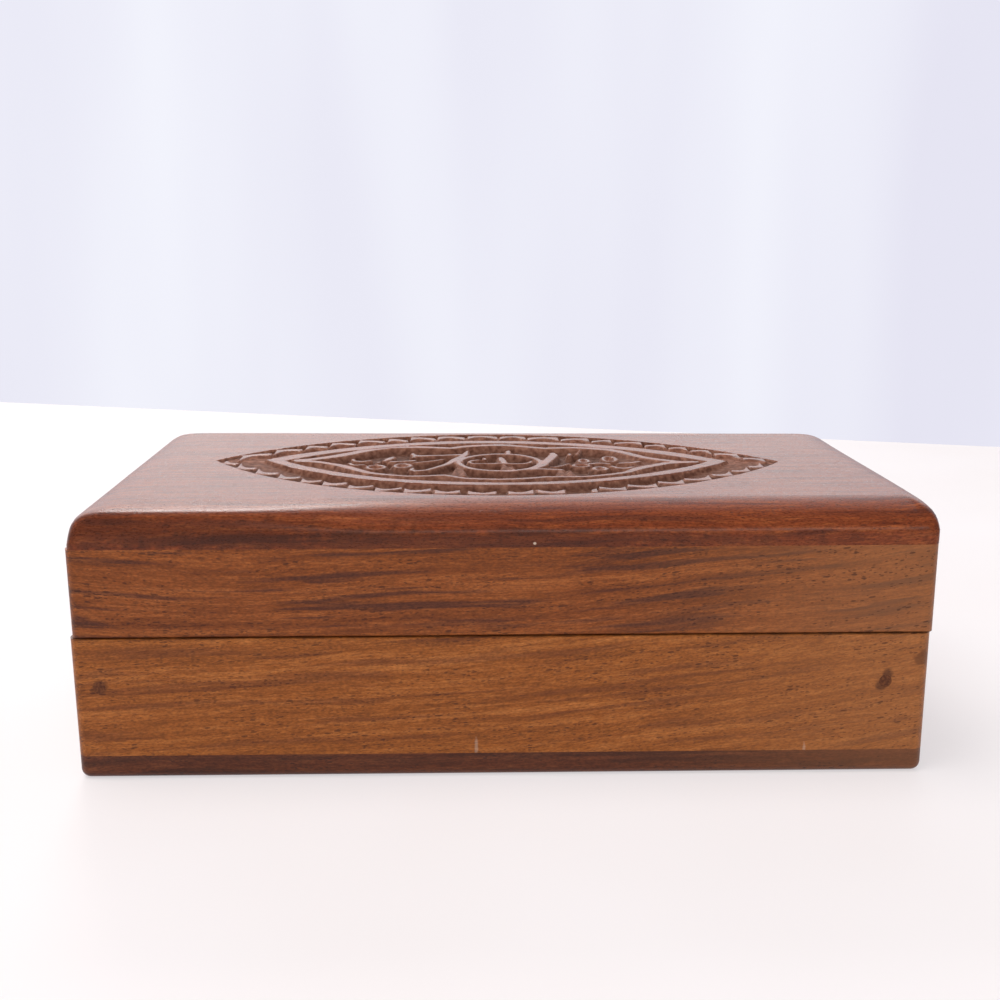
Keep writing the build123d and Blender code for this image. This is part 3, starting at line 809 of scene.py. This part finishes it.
RING = ((0.1, 3.0), 11.0, 11.4, 1.8)      # middle, half sizes of its middle line, width
STROKES = [
    # swelling under the ring, and the spur on its back
    [(-1.0, -7.9, 1.3), (2.4, -8.8, 1.8), (5.4, -7.2, 1.3)],
    [(2.7, 18.8, 1.4), (2.5, 16.0, 1.9), (2.6, 14.2, 2.0)],
    # long left stem: spur, thick shoulder and hooked end
    [(-8.9, 18.9, 1.0), (-9.3, 15.3, 1.9), (-10.2, 11.5, 2.3), (-12.2, 6.4, 2.6), (-13.3, 2.8, 2.3),
     (-14.9, -0.5, 1.8), (-17.2, -3.8, 1.6), (-19.4, -6.7, 1.6), (-21.6, -7.7, 1.6), (-23.4, -6.6, 1.5),
     (-23.2, -4.4, 1.1)],
    # left bar with its forked end, and the leaflet beside it
    [(-11.0, 13.7, 1.9), (-15.0, 12.9, 1.7), (-19.0, 12.2, 1.7), (-22.6, 12.2, 1.9), (-24.0, 14.0, 1.6),
     (-24.2, 15.9, 1.0)],
    [(-23.2, 12.2, 1.6), (-23.9, 10.3, 1.2)],
    [(-15.4, 7.2, 0.9), (-17.8, 5.3, 1.2), (-20.4, 3.7, 1.2), (-23.2, 2.5, 1.1)],
    # right leaf, thick and blunt, with a thin stem beside it
    [(15.1, 15.6, 1.8), (15.1, 12.0, 2.8), (14.0, 7.8, 2.9), (12.8, 3.7, 2.8), (11.8, -0.5, 2.5),
     (10.4, -3.4, 2.2), (8.6, -5.2, 1.8)],
    [(13.4, -3.6, 0.9), (15.9, -2.6, 1.0), (18.8, 0.6, 1.0)],
    # lower right arm
    [(6.3, -6.6, 1.8), (9.6, -6.0, 1.8), (13.2, -6.3, 1.7), (16.4, -7.4, 1.6)],
    # thin stem at the upper right and a short one beside it
    [(23.2, 20.0, 0.7), (22.5, 16.6, 0.8), (21.6, 13.4, 0.8)],
    [(19.9, 14.2, 1.4), (19.6, 12.2, 1.0)],
    # palmette: left curl, right curl, top petal and its side lobe
    [(0.6, 1.6, 1.6), (-3.2, 1.0, 1.3), (-6.4, 1.0, 1.3), (-8.0, 2.6, 1.3), (-7.7, 5.0, 1.3),
     (-5.8, 6.2, 1.2)],
    [(1.6, 1.4, 1.6), (4.0, 0.8, 1.4), (6.4, 1.2, 1.4), (8.2, 2.6, 1.3), (8.7, 4.8, 1.0)],
    [(1.4, 1.6, 1.8), (0.9, 5.0, 2.2), (0.4, 9.0, 1.8)],
    [(-4.1, 8.9, 1.0), (-4.0, 6.6, 1.0)],
    # right flower: two crescents and the stem between the petals
    [(30.1, -2.4, 1.3), (31.6, -4.9, 1.7), (33.6, -5.4, 1.7), (35.4, -3.9, 1.2)],
    [(32.6, 1.2, 1.4), (35.6, 1.9, 1.7), (38.2, 3.7, 1.4)],
    [(24.6, 0.6, 1.6), (27.0, 1.6, 1.5), (29.6, 0.6, 1.3)],
    # left flower: two hooked petals, a pointed one, a stem and a dot
    [(-40.2, 7.6, 1.1), (-39.6, 5.4, 1.4), (-37.8, 4.7, 1.4), (-35.4, 5.6, 1.3)],
    [(-40.6, 2.2, 1.2), (-39.4, 0.0, 1.4), (-36.6, 0.2, 1.3)],
    [(-31.4, 5.2, 1.4), (-30.4, 7.8, 2.2), (-29.4, 10.2, 1.6)],
    [(-29.4, 4.2, 1.6), (-26.4, 4.6, 1.3), (-23.6, 5.2, 2.0)],
    [(-33.1, 2.6, 1.0), (-32.8, 4.0, 1.0)],
]
# leaves with a fluted face: middle line with widths
LEAVES = [
    [(-10.5, -1.3, 1.4), (-10.8, -6.5, 2.2), (-10.7, -13.0, 4.6)],
    [(16.6, -8.2, 2.6), (17.2, -11.0, 5.0), (17.2, -14.0, 5.6)],
    [(1.4, 0.6, 1.2), (1.8, -2.8, 2.6), (2.2, -6.6, 4.2)],
]
# petals with a hollow: middle, half sizes, depth of the hollow
PETALS = [
    ((-33.3, -2.6), (3.0, 3.2), 0.9),
    ((-26.2, -0.9), (2.8, 3.2), 0.7),
    ((22.2, -1.3), (2.9, 2.6), 0.9),
    ((23.2, 4.9), (2.0, 2.9), 0.8),
    ((30.5, 7.2), (2.5, 4.2), 0.8),
    ((26.8, -5.5), (2.4, 2.9), 0.5),
]
# where one tooth of the border ends and the next begins
FRONT_CHIPS_X = (-74.7, -70.0, -64.2, -57.5, -51.1, -45.0, -38.4, -31.3, -24.2, -16.8, -9.2, 0.1, 8.3,
                 16.0, 23.9, 31.1, 39.2, 46.3, 54.2, 60.5, 66.0, 70.5)
BACK_CHIPS_X = (-71.3, -63.3, -55.5, -49.0, -41.3, -32.9, -26.3, -18.4, -9.5, 0.2, 8.4, 18.2, 27.1,
                33.7, 42.1, 48.4, 54.2, 60.0, 66.8, 72.6)
WIDE_SLOTS = {-9.2: 1.6, 0.1: 2.4}
SLOT_WIDTH = 0.3
BROKEN_TOOTH = 13           # counted from 0 at the left of the front: its top has chipped away
LEAN_WHOLE_AT_X = 28.0
MOST_LEAN = 0.9
print("strokes", len(STROKES), "leaves", len(LEAVES), "petals", len(PETALS))

# %% [markdown]
# ### Cutting the relief
# Depths were read from how much of each wall shows: the field and the moat inside the toothed border
# are about 2 mm deep, and the groove between the bands 1.3. The ground was stabbed and scraped
# flat, so it is rough. The border is a row of teeth, cut straight across with a knife and hollowed by
# one push of a gouge, which leaves horns at the corners. A chip was taken between each tooth and the
# outline: near the middle of the box it is even, and towards the tips it grows from half a millimetre
# at the tooth's crisp side to 5 mm at the other, so that the teeth lean like scales.

# %% Relief: levels and rough ground
from mathutils import noise

BAND_LEVEL = 0.10
LOBE_LEVEL = 0.22
STROKE_LEVEL = 0.35
LEAF_LEVEL = 0.60
PETAL_LEVEL = 0.65
FIELD_DEPTH = 2.2
MOAT_DEPTH = 1.9
GROOVE_DEPTH = 1.3
FIELD_SHALLOWER = 0.5       # part of its depth that the field loses at its right end
FIELD_END_X = (28, 36)
MOAT_SHALLOWER = 0.68       # and the moat towards the tips
MOAT_TIPS_X = (46, 68)

# how rough a ground is: height of its long swells, its pits and the hacks of the knife
FIELD_ROUGH = (0.2, 0.14, 0.1)
MOAT_ROUGH = (0.2, 0.12, 0.1)
GROOVE_ROUGH = (0.25, 0.1, 0.0)


def rough(x, y, grain, layer):
    """Smooth noise of about this grain, from -1 to 1."""
    values = [noise.noise(Vector((u / grain, v / grain, layer))) for u, v in zip(x.ravel(), y.ravel())]
    return np.array(values).reshape(x.shape)


def ground(depth, amounts, patterns):
    """Level of a scraped ground."""
    (swell, pitted, hacked), (slow, pits, hacks) = amounts, patterns
    return -depth + swell * slow + pitted * pits + hacked * hacks


def as_seen(y, depth):
    """Where a point at this depth looks to be, if it is taken to lie at the surface."""
    return y - depth * (y - CAMERA_AT.y / MM) / (CAMERA_AT.z / MM - TOP_MEAN)


print("a point 1 mm deep in the middle looks", round(-float(as_seen(0, 1)), 2), "mm nearer")

# %% Relief: the toothed border
# Where a width has two numbers, the first holds at an even tooth's middle or a leaning tooth's crisp
# side, and the second is added by the time its sides or its low side are reached. -1 is the front and 1
# the back.
EVEN_CHIP = {-1: (1.5, 1.3), 1: (0.6, 1.8)}     # width of the chip outside a tooth
LEANING_CHIP = (0.4, 5.2)
EVEN_TOP = (2.1, 2.4)       # width of a tooth's top
LEANING_TOP = 1.8
HORN = 2.8                  # how far a leaning tooth's horn reaches inwards, doubled towards the tips
HORN_GROWS_X = (42, 56)
HORN_SHARE = 0.22           # part of the tooth that a horn takes up
CHIP_DEPTH = (0.1, 0.38)    # at the outline, and more for each mm of the chip's width
INNER_SIDE = {-1: (2.6, 0.3), 1: (1.0, 0.8)}    # slope towards the moat, and how softly it starts
SLOT_SLOPE = 3.0
SLOT_WORN = 0.15            # a slot's arris is worn this far into the tooth
SLOT_REACH = 1.2
BROKEN_BY = 1.5
BROKEN_PAST = 0.25          # the broken tooth is whole up to this part of it
rng = np.random.default_rng(11)


def along_border(x, y, chips, side):
    """Distance in from the outline, tooth number, place from crisp side to low side, space, lean."""
    (cx, cy), half_length, front, back = ALMOND
    half_width = back if side > 0 else front
    arc = (half_length ** 2 + half_width ** 2) / (2 * half_width)
    rise = np.sqrt(np.maximum(arc ** 2 - (x - cx) ** 2, 0)) - arc + half_width
    slots = np.array([WIDE_SLOTS.get(chip, SLOT_WIDTH) if side < 0 else SLOT_WIDTH for chip in chips]) / 2
    chips = np.array(chips)
    index = np.clip(np.searchsorted(chips, x) - 1, 0, len(chips) - 2)
    start, stop = chips[index], chips[index + 1]
    space = np.minimum(x - start - slots[index], stop - x - slots[index + 1])
    from_left = np.clip((x - start) / (stop - start), 0, 1)
    low_side = np.where(start + stop < 0, from_left, 1 - from_left)
    lean = MOST_LEAN * np.clip(np.abs(start + stop) / 2 / LEAN_WHOLE_AT_X, 0, 1)
    return rise - (y - cy) * side, index, low_side, space, lean


def tooth_border(x, inwards, index, low_side, space, lean, side, wild):
    """Height of a toothed border. A chip rises from the outline to a crest, the tooth's top follows."""
    longer, top = (w[index] for w in wild)
    off = np.abs(2 * low_side - 1)
    even = EVEN_CHIP[side][0] + EVEN_CHIP[side][1] * off ** 2
    crest = lean * (LEANING_CHIP[0] + LEANING_CHIP[1] * low_side ** 1.3) + (1 - lean) * even
    horn = HORN + HORN * share_between(np.abs(x), *HORN_GROWS_X)
    horn = horn * np.exp(-(low_side / HORN_SHARE) ** 1.5)
    even_top = EVEN_TOP[0] + EVEN_TOP[1] * off ** 1.8
    thick = lean * (LEANING_TOP + horn) + (1 - lean) * even_top + longer
    past = np.maximum(inwards - crest - thick, 0)
    slope, soft = INNER_SIDE[side]
    fall = slope * past ** 2 / (past + soft)
    cut = (CHIP_DEPTH[0] + CHIP_DEPTH[1] * crest) * np.clip(1 - inwards / crest, 0, 1)
    beside = SLOT_SLOPE * np.clip(SLOT_WORN - space, 0, SLOT_REACH)
    chipped = BROKEN_BY * ((index == BROKEN_TOOTH) & (side < 0) & (low_side > BROKEN_PAST))
    return top - cut - fall - beside - chipped


def wild_teeth(count):
    """Length and level of each tooth: no two pushes of the gouge are the same."""
    return rng.uniform(-0.3, 0.3, count), rng.uniform(-0.16, -0.03, count)


FRONT_WILD = wild_teeth(len(FRONT_CHIPS_X))
BACK_WILD = wild_teeth(len(BACK_CHIPS_X))
print("teeth", len(FRONT_CHIPS_X) - 1, "at the front,", len(BACK_CHIPS_X) - 1, "at the back")

# %% Relief: all the cuts together
WAVER = 0.3                 # how far the carver's lines stray
FLUTE_DEPTH = 0.3
FLUTE_TURN = 2.6            # radians per mm, so a leaf has a flute every 2.4 mm
BARE_LEAF = 0.03            # a leaf counts as this far outside an edge, so that it is bare all over
PETAL_RIM = 0.7             # a petal's hollow starts this far in, and is whole after PETAL_SIDE more
PETAL_SIDE = 1.2
LOBE_SLOPE_TO_FIELD = 1.2
LOBE_SLOPE_TO_GROOVE = 3.0
FIELD_LINE = np.vstack([smooth_line(run)[:, :2] for run in LOBES_BACK]
                       + [smooth_line(run)[::-1, :2] for run in LOBES_FRONT[::-1]])


def relief(x, y):
    """Height of the carving below the lid's surface, and distance from the nearest raised edge."""
    level_y = y + ASKEW * x
    waver = WAVER * rough(x, y, grain=9.0, layer=1.5)
    outside = from_almond(x, level_y, *ALMOND) + 0.5 * waver
    band_y = as_seen(level_y, BAND_LEVEL)
    from_inside = from_almond(x, band_y, *BAND_INSIDE)
    band = np.maximum(from_almond(x, band_y, *BAND_OUTSIDE), -from_inside) + waver
    lobe_y = as_seen(y, LOBE_LEVEL)
    lobes = np.full(x.shape, FAR)
    for run in LOBES_BACK + LOBES_FRONT:
        lobes = np.minimum(lobes, from_stroke(x, lobe_y, run))
    lobes = lobes + 0.4 * waver
    in_field = inside(x, lobe_y, FIELD_LINE)
    in_groove = (from_inside < 0) & ~in_field

    # the grounds; the field gets shallow at its right end, the moat towards the tips
    slow = rough(x, y, grain=7.0, layer=2.5)
    pits = rough(x, y, grain=1.15, layer=4.5)
    hacks = rough(x * 0.45 + y * 0.2, y * 0.9, grain=0.8, layer=8.5)
    patterns = (slow, pits, hacks)
    moat_depth = MOAT_DEPTH * (1 - MOAT_SHALLOWER * share_between(np.abs(x), *MOAT_TIPS_X))
    field_depth = FIELD_DEPTH * (1 - FIELD_SHALLOWER * share_between(x, *FIELD_END_X))
    height = np.where(in_groove, ground(GROOVE_DEPTH, GROOVE_ROUGH, patterns),
                      ground(moat_depth, MOAT_ROUGH, patterns))
    height = np.where(in_field, ground(field_depth, FIELD_ROUGH, patterns), height)

    # strokes and ring, fluted leaves, hollow petals
    stroke_y = as_seen(y, STROKE_LEVEL)
    strokes = np.full(x.shape, FAR)
    for points in STROKES:
        strokes = np.minimum(strokes, from_stroke(x, stroke_y, points))
    middle, half_x, half_y, width = RING
    ring = np.abs(from_oval(x, stroke_y, middle, half_x, half_y)) - width / 2
    strokes = np.minimum(strokes, ring)
    stroke_top = -STROKE_LEVEL + 0.08 * slow
    height = np.maximum(height, raised(strokes, stroke_top, slope=2.4, worn=0.14, round_width=0.5))
    edge = strokes
    for points in LEAVES:
        leaf = from_stroke(x, stroke_y, points)
        flutes = FLUTE_DEPTH * np.cos((x - points[-1][0]) * FLUTE_TURN)
        height = np.maximum(height, raised(leaf, -LEAF_LEVEL - flutes * (leaf < 0.1), slope=2.0))
        edge = np.minimum(edge, np.maximum(leaf, BARE_LEAF))
    petal_y = as_seen(y, PETAL_LEVEL)
    for middle, half, hollow in PETALS:
        petal = from_oval(x, petal_y, middle, *half)
        sunk = hollow * np.clip((-petal - PETAL_RIM) / PETAL_SIDE, 0, 1) ** 1.5
        height = np.maximum(height, raised(petal, -PETAL_LEVEL - sunk, slope=1.3, worn=0.2, round_width=0.7))
        edge = np.minimum(edge, petal)

    # the bows fall gently to the field and steeply to the groove
    slope = np.where(in_field, LOBE_SLOPE_TO_FIELD, LOBE_SLOPE_TO_GROOVE)
    height = np.maximum(height, raised(lobes, -LOBE_LEVEL + 0.05 * slow, slope))
    height = np.maximum(height, raised(band, -BAND_LEVEL, slope=2.2))
    edge = np.minimum(np.minimum(edge, lobes), band)
    for side, chips, wild in ((-1, FRONT_CHIPS_X, FRONT_WILD), (1, BACK_CHIPS_X, BACK_WILD)):
        here = ((level_y - ALMOND[0][1]) * side > 0) & (outside < 0.5) & (band > 0)
        inwards, *place = along_border(x, level_y, chips, side)
        teeth = tooth_border(x, inwards - 0.5 * waver, *place, side, wild)
        height = np.where(here, np.maximum(height, teeth), height)
    height = np.where(outside > -0.02, 0.0, height)
    edge = np.minimum(edge, -outside)
    return height, edge


carving, edge = relief(plan_x, plan_y)
print("deepest cut", round(float(-carving.min()), 2), "mm")

# %% [markdown]
# The edges of the cuts run across the grid at all angles, and a grid shows that as a fine saw-tooth.
# So every point that lies close to an edge is slid onto it, along the slope of the distance, and the
# heights are worked out again at the new places.

# %% Relief: slide the points onto the edges
LEAST_SLOPE = 0.3           # keeps a point from jumping where two edges meet
fine = (level == 0) & (plan_y < FINE_Y[1]) & (plan_y > FINE_Y[0])
fine = fine & (plan_x > FINE_X[0]) & (plan_x < FINE_X[1])
step_y, step_x = np.gradient(edge, place_y, place_x)
length = np.maximum(np.hypot(step_x, step_y), LEAST_SLOPE)
move = np.where(fine & (np.abs(edge) < 0.5 * FINE_CELL), -edge / length, 0)
plan_x = plan_x + move * step_x / length
plan_y = plan_y + move * step_y / length
carving, edge = relief(plan_x, plan_y)
print("points moved", int((move != 0).sum()))

# %% [markdown]
# ### Bare wood and painted shade
# The wax covers the uncut board and the tops of the raised pieces, and stops at the first slope of a cut.
# Below it the wood is painted darker with depth as painted shade, least at the back border, where the
# light reaches in. Painted shade also darkens the chips just inside the outline, and the worn arrises,
# which stand out from what lies round them, are painted dark brown.

# %% Relief: where the wood is bare, where shade is painted, and which arrises are dark
WAXED_DOWN_TO = 0.17        # on the border the wax goes on to this depth
WAX_ENDS_IN = 0.15
FRONT_SHADE = ((0, 3, 7), (0.6, 0.5, 0.1))       # mm in from the outline, share of painted shade
BACK_SHADE = ((0.4, 1.2), (0.7, 0.1))
GROUND_SHADE = 0.1
DARKER_PER_MM = 0.28
BACK_DARKER_PER_MM = 0.06
HOLLOWS_FROM = 0.8          # hollows in raised pieces are shaded from this depth
HOLLOW_SHADE = 0.12
MOST_DARK_ARRIS = 0.75
MOST_DARK_ARRIS_ON_BORDER = 0.25


def blurred(values, passes):
    """Values averaged with their neighbours."""
    for _ in range(passes):
        padded = np.pad(values, 1, mode="edge")
        values = (padded[:-2, 1:-1] + padded[2:, 1:-1] + padded[1:-1, :-2] + padded[1:-1, 2:]) / 4
    return values


level_plan_y = plan_y + ASKEW * plan_x
from_outline = -from_almond(plan_x, level_plan_y, *ALMOND)
on_border = from_almond(plan_x, as_seen(level_plan_y, BAND_LEVEL), *BAND_OUTSIDE) > 0
at_back = level_plan_y > ALMOND[0][1]
past_wax = np.where(on_border, -carving - WAXED_DOWN_TO, edge + WAX_ENDS_IN)
bare_wood = np.clip(past_wax / WAX_ENDS_IN, 0, 1)
# painted shade: darker just inside the outline, in the chips, and deeper in the cuts
darkening = np.where(at_back, np.interp(from_outline, *BACK_SHADE), np.interp(from_outline, *FRONT_SHADE))
darkening = np.where(on_border, darkening, GROUND_SHADE)
darker = np.where(on_border & at_back, BACK_DARKER_PER_MM, DARKER_PER_MM)
hollowed = np.clip((-carving - HOLLOWS_FROM) / HOLLOWS_FROM, 0, HOLLOW_SHADE) * (edge < 0)
shaded = np.clip(bare_wood * (darkening - carving * darker) + hollowed, 0, 1)
# how strongly the arrises that stand out are painted dark brown
most_dark_arris = np.where(on_border, MOST_DARK_ARRIS_ON_BORDER, MOST_DARK_ARRIS)
dark_arris_share = np.clip((carving - blurred(carving, 4)) / 0.3, 0, most_dark_arris) * (carving < -0.03)
print("bare wood on", round(100 * float((bare_wood > 0.5).mean())), "% of the points")


# %% Close a grid into a piece
def closed_piece(shape, name, foot, sharp_from):
    """Gives a grid sides down to the level `foot` and an underside, and makes it an object."""
    rim = [e for e in shape.edges if e.is_boundary]
    sides = bmesh.ops.extrude_edge_only(shape, edges=rim)["geom"]
    for vertex in [g for g in sides if isinstance(g, bmesh.types.BMVert)]:
        vertex.co.z = foot * MM
    low_rim = [g for g in sides if isinstance(g, bmesh.types.BMEdge) and g.is_boundary]
    bmesh.ops.edgeloop_fill(shape, edges=low_rim)
    bmesh.ops.recalc_face_normals(shape, faces=shape.faces)
    mesh = bpy.data.meshes.new(name)
    shape.to_mesh(mesh)
    shape.free()
    mesh.shade_smooth()
    mesh.set_sharp_from_angle(angle=math.radians(sharp_from))
    obj = bpy.data.objects.new(name, mesh)
    bpy.context.collection.objects.link(obj)
    triangles = sum(len(p.vertices) - 2 for p in mesh.polygons)
    print(name, "has", len(mesh.vertices), "points and", triangles, "triangles")
    return obj


# %% Lid board: the finished mesh
FOLD = 0.1 * MM             # a cell folded more than this is split along its more level diagonal
wave = HAND_PLANED * rough(plan_x, plan_y, grain=38.0, layer=6.5)
tilt = -THICKER_AT_LEFT * (plan_x / 100) * (0.45 + 0.55 * plan_y / 50)
surface = np.minimum(TOP_MEAN + tilt + wave - drop + carving, LID_HIGH[2])

shape = bmesh.new()
bmesh.ops.create_grid(shape, x_segments=columns, y_segments=rows, size=1.0)
bare_shade_layer = shape.verts.layers.float.new("bare_wood_shade")
dark_arris_layer = shape.verts.layers.float.new("dark_arris")
for vertex in shape.verts:
    i = round((vertex.co.x + 1) / 2 * columns)
    j = round((vertex.co.y + 1) / 2 * rows)
    vertex.co = Vector((plan_x[j, i], plan_y[j, i], surface[j, i])) * MM
    vertex[bare_shade_layer] = shaded[j, i]
    vertex[dark_arris_layer] = dark_arris_share[j, i]
for face in list(shape.faces):
    a, b, c, d = face.verts
    if abs(a.co.z - c.co.z) + abs(b.co.z - d.co.z) > FOLD:
        ends = (a, c) if abs(a.co.z - c.co.z) < abs(b.co.z - d.co.z) else (b, d)
        bmesh.utils.face_split(face, *ends)
lid_board = closed_piece(shape, "lid_board_carved", LID_LOW[2], sharp_from=75)
dress(lid_board, rosewood("rosewood_lid_board", RUSSET, (0.13, 0.92, 0.017), 0.01, 0.15, smoke=0.6,
                          pores=0.5, marks_and_shade=LID_MARKS_AND_SHADE, carved=True, roughness=(0.26, 0.36), bump=0.22))
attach(lid_board, "lid")
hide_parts("lid_top")

# %% [markdown]
# ## Velvet linings
# A keepsake box of this kind has a piece of thin velvet glued to its floor and one under the lid. The
# photograph shows the box shut, so their red is a guess. A glued sheet lies nearly flat: it is cut a
# little small, its edges turn down to the glue and it ripples by a tenth of a millimetre. So each one
# is a fine grid with soft ripples, given a skirt and an underside. Velvet looks darker seen from above
# and lighter at a glance along it, which is what a sheen does, and its pile lies this way and that.

# %% Velvet
NAP_PATCH = 16 * MM         # where the pile lies one way
PILE = 0.45 * MM

velvet, tree = new_material("cotton_velvet")
place = add(tree, "TexCoord").outputs["Object"]
lie = add(tree, "TexNoise", {"Vector": place, "Scale": 1 / NAP_PATCH, "Detail": 3.0, "Roughness": 0.6})
pile = add(tree, "TexNoise", {"Vector": place, "Scale": 1 / PILE, "Detail": 2.0})
tone = add(tree, "Mix", {"Factor": 0.4, "A": lie.outputs["Fac"], "B": pile.outputs["Fac"]}, data_type="FLOAT")
red = add(tree, "ValToRGB", {"Fac": tone.outputs[0]},
          stops=[(0.36, "#560b14"), (0.5, "#6d1019"), (0.64, "#831922")]).outputs["Color"]
tuft = add(tree, "Bump", {"Height": pile.outputs["Fac"], "Strength": 0.6, "Distance": 0.3 * MM}).outputs[0]
cloth = add(tree, "BsdfPrincipled", {"Base Color": red, "Roughness": 0.9, "Specular IOR Level": 0.1,
                                     "Sheen Weight": 0.8, "Sheen Roughness": 0.35,
                                     "Sheen Tint": srgb("#e7a3a0"), "Normal": tuft})
add(tree, "OutputMaterial", {"Surface": cloth.outputs["BSDF"]})

# %% Lining sheets
LINING_CELL = 1.6
RIPPLE = 0.12
RIPPLE_LENGTH = (21, 17)
EDGE_TURN = 1.4             # the cut edge turns down over this width
EDGE_DROP = 0.45


def lining(name, node, body, faces_up):
    """Velvet sheet in the space of a lining node."""
    low, high = (np.array(c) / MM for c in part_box(node))
    length, width, thick = high - low
    sheet = bmesh.new()
    cells_x, cells_y = round(length / LINING_CELL), round(width / LINING_CELL)
    bmesh.ops.create_grid(sheet, x_segments=cells_x, y_segments=cells_y, size=0.5)
    side = 1 if faces_up else -1
    glued = low[2] if faces_up else high[2]
    for vertex in sheet.verts:
        x = low[0] + (vertex.co.x + 0.5) * length
        y = low[1] + (vertex.co.y + 0.5) * width
        from_edge = min(x - low[0], high[0] - x, y - low[1], high[1] - y)
        turned = max(0.0, 1 - from_edge / EDGE_TURN) ** 2
        ripple = RIPPLE * (1 + noise.noise(Vector((x / RIPPLE_LENGTH[0], y / RIPPLE_LENGTH[1], side)))) / 2
        vertex.co = Vector((x, y, glued + side * (thick - ripple - EDGE_DROP * turned))) * MM
    obj = closed_piece(sheet, name, glued, sharp_from=50)
    dress(obj, velvet)
    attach(obj, body)
    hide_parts(node)


lining("base_lining_velvet", "base_lining", "base", True)
lining("lid_lining_velvet", "lid_lining", "lid", False)
